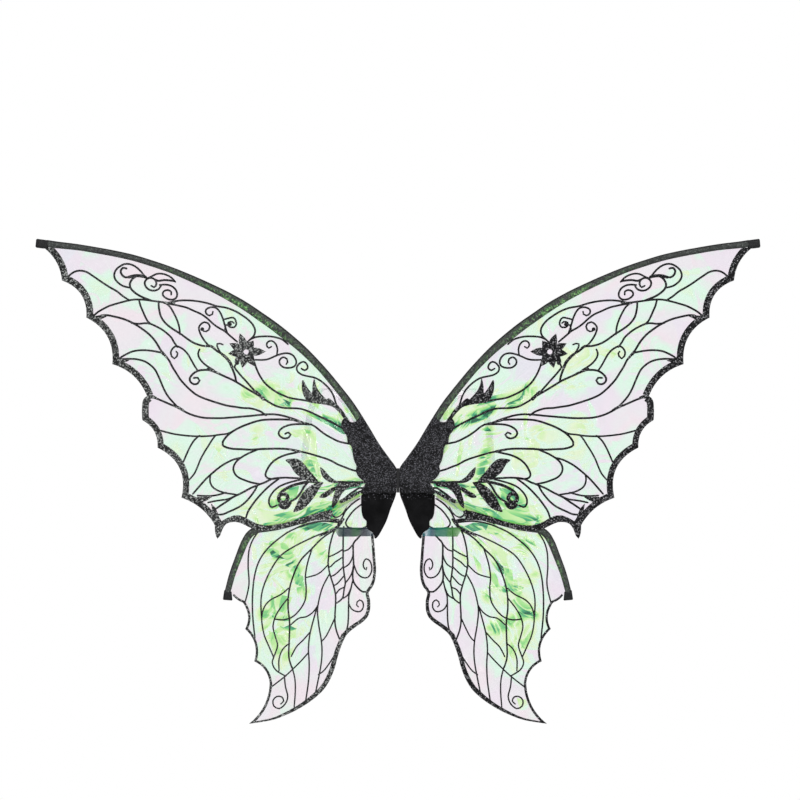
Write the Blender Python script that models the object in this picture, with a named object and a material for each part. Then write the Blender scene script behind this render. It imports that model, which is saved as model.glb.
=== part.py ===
"""Fairy wings worn on the back: four film wings on sleeved rods, a centre pad and two arm loops.

The frame is the row frame in metres. The origin is the centre of the pad face that rests on
the wearer's back, +X is to the right as seen from behind the wearer, +Y points into the
wearer and +Z is up. The wings lie on the -Y side of the pad.

Every wing piece is drawn flat in (u, z), in millimetres, where u is the distance from the
centre line, and is then bent back by one smooth sweep that depends on u only. All layers
share that sweep, so the gaps between them stay the same everywhere.
"""
import math

import bpy
import bmesh
from mathutils import Vector
from mathutils.geometry import delaunay_2d_cdt

MM = 0.001

# Layer planes, in mm along Y. The hinge line lies in the outermost plane.
HINGE_U = 1.7
HINGE_Y = -10.5
GLITTER_FRONT = -10.5
GLITTER_BACK = -9.9
UPPER_MID = -7.55
UPPER_BACKING = (-7.05, -6.25)
FELT_YOKE = (-5.95, -5.15)
FOLD_BAND = (-5.45, -5.15)
LOWER_MID = -4.65
LOWER_BACKING = (-4.15, -3.35)
FILM_HALF = 0.2
PAD_OUTER = (-4.9, -3.9)
PAD_STIFF = (-3.6, -2.6)
STRAP_MID = -1.9
PAD_INNER = (-1.2, 0.0)
BINDING = (-10.3, -5.2)

# Sleeve and rod sizes, in mm.
SLEEVE_HALF_T = 2.2
LOWER_SLEEVE_HALF_T = 2.0
SLEEVE_WALL = 0.7
ROD_RADIUS = 1.15
GAP = 0.3

# Sweep of the wings away from the wearer, in mm.
SWEEP_START = 60.0
SWEEP_END = 480.0
SWEEP_DEPTH = 30.0

# Pad and straps, in mm.
PAD_HALF_W = 15.0
PAD_BOTTOM = -11.0
PAD_TOP = 15.0
STRAP_WIDTH = 10.0
STRAP_THICK = 0.8

# Leading edge of the upper wing, outer side of its sleeve.
LEAD = [(6, 22), (10, 27), (25, 48), (37, 68), (50, 89), (60, 104), (70, 117), (87, 138), (100, 153),
        (120, 174), (140, 192), (160, 208), (180, 222), (200, 235.5), (225, 249.5), (250, 261.5),
        (275, 272.5), (300, 282.5), (325, 291), (350, 298.5), (375, 304), (400, 308.5),
        (425, 312.5), (450, 315.5), (463, 317.5)]

# Full width of the upper sleeve against u.
LEAD_WIDTH = [(0, 10), (60, 10), (100, 9.6), (150, 12), (200, 11.4), (250, 9.6), (300, 8.2),
              (420, 8.2), (463, 9.4)]

# Middle line of the lower sleeve.
LOW_LINE = [(52.5, -18.5), (60, -22.5), (72, -29), (85, -36.5), (100, -44), (120, -51), (140, -57),
            (160, -62), (176, -64.5), (188, -66.5), (197, -72.5), (203, -82), (207, -91),
            (212, -104), (217, -117), (221, -129), (224.5, -142), (226.5, -150)]
LOW_WIDTH = [(0, 9), (100, 9), (190, 9.6), (205, 9.6), (226, 8)]

# Outer scallops of the upper wing: straight corner points joined by shallow hollow arcs.
# Each entry is the end point of an arc and its sag, positive towards the inside.
SCALLOPS = [((444, 264), 5), ((412, 215), 11), ((378, 153.5), 12), ((332.5, 111.5), 7.5),
            ((338.5, 103), -1.2), ((338.5, 79.5), -0.6), ((318.5, 43), 6.5), ((287, -23.5), 14.5),
            ((243, -60), 5.5)]
LOWER_BORDER = [(243, -60), (242.5, -70), (239.5, -78), (236, -74), (233, -66), (228, -58.5),
                (220, -56), (212, -56.3), (204, -59.5), (195, -64), (183, -67.3), (170, -67.2),
                (155, -65), (140, -60.7), (125, -56), (110, -54), (95, -53), (85, -51),
                (78, -43), (68, -34), (58, -27), (48, -20)]

# Glitter yoke edge, from the sleeve down to the neck.
YOKE_EDGE = [(56, 77.5), (60, 76.5), (65, 78), (70, 82.5), (74, 79), (75.5, 72), (73, 65),
             (69, 60), (67.5, 55), (67, 50), (63, 46), (61, 41), (60, 33), (58, 25), (55, 18),
             (56, 12), (53, 5), (48, 0), (43, -3), (45, -8), (48.5, -13), (49, -18),
             (42, -19), (34, -16.5), (26, -18.5), (18, -16.5), (10, -18.5), (1.9, -17)]
BACKING_EDGE = [(56, 70), (54, 58), (52, 44), (50, 30), (47, 16), (42, 2), (42, -8), (40, -14),
                (1.9, -16), (1.9, 12), (8, 15), (14, 16.5), (19, 19.5)]

# Felt yoke of the lower wing.
FELT_EDGE = [(3.5, -12), (24, -12), (46.5, -12), (48.8, -20), (49, -32), (48, -45), (45.5, -51.5),
             (42, -55), (41.5, -64), (33, -71), (31, -78), (27, -76), (21.5, -67), (15, -54),
             (9.5, -38), (3.5, -22)]
LOW_BACK_EDGE = [(12, -24), (28, -23), (45, -24), (45.5, -44), (40, -52), (38.5, -61), (30, -68),
                 (28.5, -73), (23, -66), (17, -54), (12, -38)]
FOLD_EDGE = [(45, -64), (62, -63.5), (82, -64), (83.5, -70), (82, -76.5), (62, -76), (44, -75.5),
             (34, -75.5), (33.6, -72.5), (42, -66)]

# Lower wing film, from the sleeve end down to the tip and back up the inner side.
LOW_SCALLOPS = [((206, -163), -1.0), ((203, -168), 0.3), ((203, -198), 4.0), ((191, -241), 7.0),
                ((170.5, -270), 5.0), ((198, -324), 7.0)]
LOW_INNER = [(198, -324), (180, -321.5), (165, -318.5), (150, -313), (135, -306), (120, -297),
             (108, -288), (98, -278), (90, -265), (84, -250), (80, -235), (75, -220), (68, -206),
             (58, -197), (48, -190), (40.5, -182.5), (37, -172), (37, -160), (39, -150),
             (34, -143), (30.5, -134), (29, -120), (30, -105), (31, -90), (32, -79)]

# Arm loop, right side, in row coordinates.
STRAP_PATH = [(3.5, -1.9, 9), (9, -1.9, 9), (15.5, -1.9, 9.3), (23, 0.2, 13), (36, 9, 36),
              (55, 26, 76), (79, 56, 110), (102, 95, 121), (118, 132, 97), (127, 155, 46),
              (130, 146, -8), (122, 107, -43), (100, 62, -46), (70, 30, -34), (42, 12, -17),
              (25, 1.4, -7), (15.5, -1.9, -5.3), (9, -1.9, -5), (3.5, -1.9, -5)]
STRAP_CENTRE = Vector((92, 80, 36))


def clear_scene():
    for old in list(bpy.data.objects):
        bpy.data.objects.remove(old, do_unlink=True)


def sweep(u):
    """Distance that the wing lies back from its root plane at u, in mm."""
    if u <= SWEEP_START:
        return 0.0
    t = (u - SWEEP_START) / (SWEEP_END - SWEEP_START)
    return SWEEP_DEPTH * t ** 1.6


def lookup(table, x):
    """Straight-line reading of a table of (x, value)."""
    if x <= table[0][0]:
        return table[0][1]
    for (x0, v0), (x1, v1) in zip(table, table[1:]):
        if x <= x1:
            return v0 + (v1 - v0) * (x - x0) / (x1 - x0)
    return table[-1][1]


def spline(points, step):
    """Catmull-Rom curve through the points, sampled about every step."""
    pts = [Vector(p) for p in points]
    out = []
    last = len(pts) - 1
    for i in range(last):
        a = pts[max(i - 1, 0)]
        b = pts[i]
        c = pts[i + 1]
        d = pts[min(i + 2, last)]
        count = max(1, round((c - b).length / step))
        for k in range(count):
            t = k / count
            out.append(0.5 * (2 * b + (c - a) * t + (2 * a - 5 * b + 4 * c - d) * t * t
                              + (3 * b - a - 3 * c + d) * t ** 3))
    out.append(pts[-1])
    return out


def arc(p, q, sag, step):
    """Points of a shallow arc from p to q, without q. Positive sag bulges to the left."""
    p = Vector(p)
    q = Vector(q)
    chord = q - p
    count = max(2, round(chord.length / step))
    normal = Vector((-chord.y, chord.x)).normalized()
    out = []
    for k in range(count):
        t = k / count
        out.append(p + chord * t + normal * (4 * sag * t * (1 - t)))
    return out


def normals(path):
    """Unit normals to the right of the direction of travel along a flat path."""
    out = []
    for i in range(len(path)):
        a = path[max(i - 1, 0)]
        b = path[min(i + 1, len(path) - 1)]
        d = (b - a).normalized()
        out.append(Vector((d.y, -d.x)))
    return out


def offset(path, distances):
    return [p + n * d for p, n, d in zip(path, normals(path), distances)]


def inside(point, outline):
    hit = False
    x, y = point
    for a, b in zip(outline, outline[1:] + outline[:1]):
        if (a[1] > y) != (b[1] > y):
            if x < a[0] + (b[0] - a[0]) * (y - a[1]) / (b[1] - a[1]):
                hit = not hit
    return hit


def edge_distance(point, outline):
    p = Vector(point)
    best = 1e9
    for a, b in zip(outline, outline[1:] + outline[:1]):
        ab = b - a
        t = max(0.0, min(1.0, (p - a).dot(ab) / max(ab.length_squared, 1e-9)))
        best = min(best, (p - a - ab * t).length)
    return best


def material(name, color, roughness, alpha=1.0):
    mat = bpy.data.materials.get(name)
    if mat:
        return mat
    mat = bpy.data.materials.new(name)
    mat.use_nodes = True
    shader = mat.node_tree.nodes["Principled BSDF"]
    shader.inputs["Base Color"].default_value = (*color, 1.0)
    shader.inputs["Roughness"].default_value = roughness
    shader.inputs["Alpha"].default_value = alpha
    return mat


def finish(bm, name, mat, origin, smooth):
    """Turn a mesh in mm into a named object in metres with its origin at the given point."""
    bmesh.ops.recalc_face_normals(bm, faces=bm.faces)
    origin = Vector(origin) * MM
    for v in bm.verts:
        v.co = v.co * MM - origin
    mesh = bpy.data.meshes.new(name)
    bm.to_mesh(mesh)
    bm.free()
    if smooth:
        mesh.shade_smooth()
        mesh.set_sharp_from_angle(angle=math.radians(40))
    obj = bpy.data.objects.new(name, mesh)
    obj.location = origin
    mesh.materials.append(mat)
    bpy.context.scene.collection.objects.link(obj)
    return obj


def place(side, u, y, z):
    return Vector((side * u, y - sweep(u), z))


def plate(name, mat, outline, y_range, side=1, origin=(0, 0, 0), grid=26.0):
    """Flat layer with the given outline, between two Y planes, bent by the sweep."""
    outline = [Vector((p[0], p[1])) for p in outline]
    points = list(outline)
    low_u = min(p.x for p in outline)
    high_u = max(p.x for p in outline)
    low_z = min(p.y for p in outline)
    high_z = max(p.y for p in outline)
    rows = int((high_z - low_z) / grid)
    cols = int((high_u - low_u) / grid)
    for i in range(1, cols + 1):
        for j in range(1, rows + 1):
            p = Vector((low_u + i * grid, low_z + (j + 0.5 * (i % 2) - 0.25) * grid))
            if inside(p, outline) and edge_distance(p, outline) > 0.45 * grid:
                points.append(p)
    ring = list(range(len(outline)))
    verts, _edges, faces = delaunay_2d_cdt(points, [], [ring], 1, 1e-5)[:3]
    bm = bmesh.new()
    front = [bm.verts.new(place(side, v.x, y_range[0], v.y)) for v in verts]
    back = [bm.verts.new(place(side, v.x, y_range[1], v.y)) for v in verts]
    used = {}
    for f in faces:
        bm.faces.new([front[i] for i in f])
        bm.faces.new([back[i] for i in reversed(f)])
        for a, b in zip(f, f[1:] + f[:1]):
            key = (min(a, b), max(a, b))
            used[key] = used.get(key, 0) + 1
    for (a, b), count in sorted(used.items()):
        if count == 1:
            bm.faces.new([front[a], front[b], back[b], back[a]])
    loose = [v for v in bm.verts if not v.link_faces]
    for v in loose:
        bm.verts.remove(v)
    return finish(bm, name, mat, origin, False)


def ring_points(side, p, n, y, half_w, half_t, count):
    out = []
    for k in range(count):
        a = 2 * math.pi * k / count
        q = p + n * (half_w * math.cos(a))
        out.append(place(side, q.x, y + half_t * math.sin(a), q.y))
    return out


def skin(bm, rings):
    """Join equal rings of vertices into a skin and return the vertex rings."""
    rows = [[bm.verts.new(c) for c in ring] for ring in rings]
    for a, b in zip(rows, rows[1:]):
        for k in range(len(a)):
            m = (k + 1) % len(a)
            bm.faces.new([a[k], a[m], b[m], b[k]])
    return rows


def sleeve(name, mat, path, half_widths, y, half_t, side, origin):
    """Hollow fabric tube of oval section, open at both ends."""
    ns = normals(path)
    outer = [ring_points(side, p, n, y, w, half_t, 12) for p, n, w in zip(path, ns, half_widths)]
    inner = [ring_points(side, p, n, y, w - SLEEVE_WALL, half_t - SLEEVE_WALL, 12)
             for p, n, w in zip(path, ns, half_widths)]
    bm = bmesh.new()
    rows_out = skin(bm, outer)
    rows_in = skin(bm, inner)
    for end in (0, -1):
        a = rows_out[end]
        b = rows_in[end]
        for k in range(len(a)):
            m = (k + 1) % len(a)
            bm.faces.new([a[k], a[m], b[m], b[k]])
    return finish(bm, name, mat, origin, True)


def rod(name, mat, path, y, radius, side, origin):
    """Round rod along a flat path with flat ends."""
    ns = normals(path)
    bm = bmesh.new()
    rows = skin(bm, [ring_points(side, p, n, y, radius, radius, 8) for p, n in zip(path, ns)])
    bm.faces.new(rows[0])
    bm.faces.new(rows[-1])
    return finish(bm, name, mat, origin, True)


def strap(name, mat, side):
    """Flat elastic band that leaves the pad, loops round the shoulder and returns."""
    path = spline(STRAP_PATH, 12.0)
    count = len(path)
    rings = []
    for i, p in enumerate(path):
        tangent = (path[min(i + 1, count - 1)] - path[max(i - 1, 0)]).normalized()
        away = p - STRAP_CENTRE
        flat = Vector((0, -1, 0))
        reach = min(1.0, max(0.0, (p.x - 16.0) / 40.0))
        reach = reach * reach * (3 - 2 * reach)
        facing = flat.lerp(away.normalized(), reach)
        facing = (facing - tangent * facing.dot(tangent)).normalized()
        across = tangent.cross(facing)
        ring = []
        half_w = STRAP_WIDTH / 2
        half_t = STRAP_THICK / 2
        for du, dv in ((-1, -0.4), (-0.94, -1), (0.94, -1), (1, -0.4),
                       (1, 0.4), (0.94, 1), (-0.94, 1), (-1, 0.4)):
            q = p + across * (du * half_w) + facing * (dv * half_t)
            ring.append(Vector((side * q.x, q.y, q.z)))
        rings.append(ring)
    bm = bmesh.new()
    rows = skin(bm, rings)
    bm.faces.new(rows[0])
    bm.faces.new(rows[-1])
    return finish(bm, name, mat, (0, 0, 0), False)


def rounded_box(x0, x1, z0, z1, radius):
    out = []
    for cx, cz, start in ((x1 - radius, z1 - radius, 0), (x0 + radius, z1 - radius, 90),
                          (x0 + radius, z0 + radius, 180), (x1 - radius, z0 + radius, 270)):
        for k in range(5):
            a = math.radians(start + 22.5 * k)
            out.append((cx + radius * math.cos(a), cz + radius * math.sin(a)))
    return out


def lead_parts():
    """Leading edge, sleeve middle line, half widths and film edge of the upper wing."""
    edge = spline(LEAD, 14.0)
    edge = [p for p in edge if p.x >= 9.9]
    half = [0.5 * lookup(LEAD_WIDTH, p.x) for p in edge]
    middle = offset(edge, half)
    film_top = offset(edge, [2 * h + GAP for h in half])
    return edge, middle, half, film_top


def upper_film_outline(film_top):
    top = [p for p in film_top if p.x > 20]
    out = list(top)
    corner = Vector((467, 307))
    out = [p for p in out if p.x < 455]
    out.append(Vector((461.5, 307.2)))
    start = corner - Vector((1.0, 1.2))
    previous = start
    for point, sag in SCALLOPS:
        out.extend(arc(previous, point, -sag, 11.0))
        previous = Vector(point)
    out.extend(spline(LOWER_BORDER, 9.0))
    out.extend([Vector((30, -8)), Vector((22, 4))])
    return out


def wing(side, word):
    pivot = (side * HINGE_U, HINGE_Y, 0)
    film = material("iridescent_film", (0.80, 0.93, 0.84), 0.15, 0.45)
    fabric = material("sleeve_fabric", (0.035, 0.045, 0.04), 0.75)
    glitter = material("glitter_fabric", (0.05, 0.05, 0.06), 0.55)
    felt = material("felt", (0.012, 0.012, 0.014), 0.95)
    wire = material("rod_plastic", (0.03, 0.03, 0.03), 0.4)
    band = material("fold_film", (0.10, 0.30, 0.25), 0.25, 0.8)

    edge, middle, half, film_top = lead_parts()
    sleeve(word + "_upper_sleeve", fabric, middle, half, UPPER_MID, SLEEVE_HALF_T, side, pivot)
    rod(word + "_upper_rod", wire, middle[1:-1], UPPER_MID, ROD_RADIUS, side, pivot)
    plate(word + "_upper_film", film, upper_film_outline(film_top),
          (UPPER_MID - FILM_HALF, UPPER_MID + FILM_HALF), side, pivot)
    tab = [(463.7, 317.8), (470, 318.8), (477.2, 319.8), (478.4, 318.6), (479.2, 310), (478.2, 308.6),
           (470, 308), (465.2, 308.2)]
    plate(word + "_upper_tip_tab", fabric, tab, (UPPER_MID - 2.4, UPPER_MID + 2.4), side, pivot)

    over = [p for p in spline(LEAD, 7.0) if p.x < 48]
    yoke = [Vector((1.9, 15.5))] + over + spline(YOKE_EDGE, 5.0)
    plate(word + "_glitter_yoke", glitter, yoke, (GLITTER_FRONT, GLITTER_BACK), side, pivot)
    shoulder = [p for p in offset(edge, [2 * h + 0.5 for h in half]) if p.x > 21 and p.y < 74]
    backing = shoulder + [Vector(p) for p in BACKING_EDGE]
    plate(word + "_yoke_backing", felt, backing, UPPER_BACKING, side, pivot)

    line = spline(LOW_LINE, 10.0)
    halves = [0.5 * lookup(LOW_WIDTH, p.x) for p in line]
    sleeve(word + "_lower_sleeve", fabric, line, halves, LOWER_MID, LOWER_SLEEVE_HALF_T, side, pivot)
    rod(word + "_lower_rod", wire, line[1:-1], LOWER_MID, ROD_RADIUS - 0.2, side, pivot)
    tab = [(221.8, -151.8), (231.6, -149.4), (232.4, -158.2), (231.4, -159.3), (220.8, -160.2),
           (219.8, -159.2), (220.2, -155.5)]
    plate(word + "_lower_tip_tab", fabric, tab, (LOWER_MID - 2.2, LOWER_MID + 2.2), side, pivot)

    film_edge = offset(line, [h + GAP for h in halves])
    low = [Vector((20, -30)), Vector((32, -26)), Vector((46, -26.5))]
    low += film_edge[1:-1]
    previous = Vector((219, -154.2))
    for point, sag in LOW_SCALLOPS:
        low.extend(arc(previous, point, -sag, 9.0))
        previous = Vector(point)
    low.extend(spline(LOW_INNER, 12.0))
    low.extend([Vector((25, -68)), Vector((20, -56))])
    plate(word + "_lower_film", film, low, (LOWER_MID - FILM_HALF, LOWER_MID + FILM_HALF),
          side, pivot)
    plate(word + "_felt_yoke", felt, FELT_EDGE, FELT_YOKE, side, pivot)
    plate(word + "_lower_backing", felt, LOW_BACK_EDGE, LOWER_BACKING, side, pivot)
    plate(word + "_fold_band", band, FOLD_EDGE, FOLD_BAND, side, pivot)


def centre():
    felt = material("felt", (0.012, 0.012, 0.014), 0.95)
    stiff = material("pad_plastic", (0.03, 0.03, 0.032), 0.5)
    tape = material("binding_tape", (0.03, 0.03, 0.032), 0.8)
    clear = material("clear_elastic", (0.86, 0.90, 0.90), 0.2, 0.3)
    outline = rounded_box(-PAD_HALF_W, PAD_HALF_W, PAD_BOTTOM, PAD_TOP, 5.0)
    smaller = rounded_box(-PAD_HALF_W + 1.5, PAD_HALF_W - 1.5, PAD_BOTTOM + 1.5, PAD_TOP - 1.5, 4.0)
    plate("pad_face_felt", felt, outline, PAD_INNER)
    plate("pad_stiffener", stiff, smaller, PAD_STIFF)
    plate("pad_outer_felt", felt, outline, PAD_OUTER)
    plate("centre_binding", tape, rounded_box(-1.2, 1.2, -17.0, 15.5, 1.0), BINDING)
    strap("right_arm_loop", clear, 1)
    strap("left_arm_loop", clear, -1)


clear_scene()
centre()
wing(1, "right")
wing(-1, "left")
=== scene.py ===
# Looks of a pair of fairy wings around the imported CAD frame.
# Lengths in this file are millimetres in the wing's flat drawing unless a line says metres:
# u is the distance from the centre line, z is up, and every layer is bent back by sweep(u).
import math

import bpy
import bmesh
import numpy as np
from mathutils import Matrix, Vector, noise
from mathutils.geometry import delaunay_2d_cdt

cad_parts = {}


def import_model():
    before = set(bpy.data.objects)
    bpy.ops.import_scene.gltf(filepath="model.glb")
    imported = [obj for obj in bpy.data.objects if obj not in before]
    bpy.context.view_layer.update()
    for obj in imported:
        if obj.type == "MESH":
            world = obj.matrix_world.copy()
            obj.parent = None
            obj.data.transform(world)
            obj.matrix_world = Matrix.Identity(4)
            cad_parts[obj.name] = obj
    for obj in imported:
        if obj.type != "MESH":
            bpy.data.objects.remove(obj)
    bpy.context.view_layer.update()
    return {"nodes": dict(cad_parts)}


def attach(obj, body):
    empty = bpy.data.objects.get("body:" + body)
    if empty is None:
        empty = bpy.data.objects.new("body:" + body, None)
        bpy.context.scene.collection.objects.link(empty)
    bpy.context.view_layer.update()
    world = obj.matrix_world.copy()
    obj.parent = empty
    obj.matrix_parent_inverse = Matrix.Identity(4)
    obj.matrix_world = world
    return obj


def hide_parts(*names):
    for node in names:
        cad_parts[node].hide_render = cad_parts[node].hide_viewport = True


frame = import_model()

MM = 0.001
LEFT, RIGHT = -1, 1
SIDES = ((RIGHT, "right"), (LEFT, "left"))
UPPER_Y = -7.55
LOWER_Y = -4.65
SWEEP_START = 60.0
SWEEP_END = 480.0
SWEEP_DEPTH = 30.0
SLEEVE_START = 9.9
TUCK = 0.6  # how far the film reaches into its sleeve
GRID = 4.2  # size of the film's triangles
FILM_HALF = 0.06
PRINT_HALF = 0.16
SLEEVE_CLOTH = 0.3
AROUND_SLEEVE = 22
AROUND_THREAD = 6
AROUND_LOOP = 20

# Depths of the outer and the inner side of each layer.
YOKE_LAYER = (-10.5, -9.9)
BINDING_LAYER = (-10.3, -5.2)
YOKE_BACKING_LAYER = (-7.05, -6.25)
FELT_LAYER = (-5.95, -5.15)
BAND_LAYER = (-5.08, -4.86)
LOWER_BACKING_LAYER = (-4.15, -3.35)
PAD_OUTER_LAYER = (-4.7, -4.1)
PAD_FACE_LAYER = (-1.0, -0.2)

# Stage, in metres.
FLOOR_RADIUS = 1.55
FLOOR_Z = -0.62
CAMERA_AWAY = 4.5
CAMERA_X, CAMERA_Y, CAMERA_Z = 0.0027, -0.015, 0.1061
VIEW_WIDTH = 1.0614
SENSOR = 36
LIT_BY = (0.42, 0.42, 0.43, 1)  # soft light from all round; the camera itself sees white

# ---------------------------------------------------------------- drawing of the wings

LEAD = [(6, 22), (10, 27), (25, 48), (37, 68), (50, 89), (60, 104), (70, 117), (87, 138), (100, 153),
        (120, 174), (140, 192), (160, 208), (180, 222), (200, 235.5), (225, 249.5), (250, 261.5),
        (275, 272.5), (300, 282.5), (325, 291), (350, 298.5), (375, 304), (400, 308.5),
        (425, 312.5), (450, 315.5), (463, 317.5)]
LEAD_WIDTH = [(0, 10), (60, 10), (100, 9.6), (150, 12), (200, 11.4), (250, 9.6), (300, 8.2),
              (420, 8.2), (463, 9.4)]
LOW_LINE = [(52.5, -18.5), (60, -22.5), (72, -29), (85, -36.5), (100, -44), (120, -51), (140, -57),
            (160, -62), (176, -64.5), (188, -66.5), (197, -72.5), (203, -82), (207, -91),
            (212, -104), (217, -117), (221, -129), (224.5, -142), (226.5, -150)]
LOW_WIDTH = [(0, 9), (100, 9), (190, 9.6), (205, 9.6), (226, 8)]
SCALLOPS = [((444, 264), 5), ((412, 215), 11), ((378, 153.5), 12), ((332.5, 111.5), 7.5),
            ((338.5, 103), -1.2), ((338.5, 79.5), -0.6), ((318.5, 43), 6.5), ((287, -23.5), 14.5),
            ((243, -60), 5.5)]
LOWER_BORDER = [(243, -60), (242.5, -70), (239.5, -78), (236, -74), (233, -66), (228, -58.5),
                (220, -56), (212, -56.3), (204, -59.5), (195, -64), (183, -67.3), (170, -67.2),
                (155, -65), (140, -60.7), (125, -56), (110, -54), (95, -53), (86, -51.5),
                (79, -50), (73, -45.5), (68.5, -38), (65, -31), (57, -26), (48, -20)]
LOW_SCALLOPS = [((206, -163), -1.0), ((203, -168), 0.3), ((203, -198), 4.0), ((191, -241), 7.0),
                ((170.5, -270), 5.0), ((198, -324), 7.0)]
LOW_INNER = [(198, -324), (180, -321.5), (165, -318.5), (150, -313), (135, -306), (120, -297),
             (108, -288), (98, -278), (90, -265), (84, -250), (80, -235), (75, -220), (68, -206),
             (58, -197), (48, -190), (40.5, -182.5), (37, -172), (37, -160), (39, -150),
             (34, -143), (30.5, -134), (29, -120), (30, -105), (31, -90), (32, -79), (32.5, -71)]
# Width of the print border along that edge, by depth below the neck.
LOW_INNER_WIDTH = [(0, 3.4), (140, 3.9), (185, 4.8), (230, 6.2), (288, 6.2), (308, 4.4), (325, 1.8)]
YOKE_EDGE = [(56, 77.5), (60, 76.5), (65, 78), (70, 82.5), (74, 79), (75.5, 72), (73, 65),
             (69, 60), (67.5, 55), (67, 50), (63, 46), (61, 41), (60, 33), (58, 25), (55, 18),
             (56, 12), (53, 5), (48, 0), (43, -3), (45, -8), (48.5, -13), (49, -18),
             (42, -19), (34, -16.5), (26, -18.5), (18, -16.5), (10, -18.5), (1.9, -17)]
FELT_EDGE = [(2.7, -12), (24, -12), (46.5, -12), (48.8, -20), (49, -32), (48, -45), (45.5, -51.5),
             (42, -55), (41.5, -64), (33, -71), (31, -78), (27, -76), (21.5, -67), (15, -54),
             (9.5, -38), (2.7, -20)]

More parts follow.
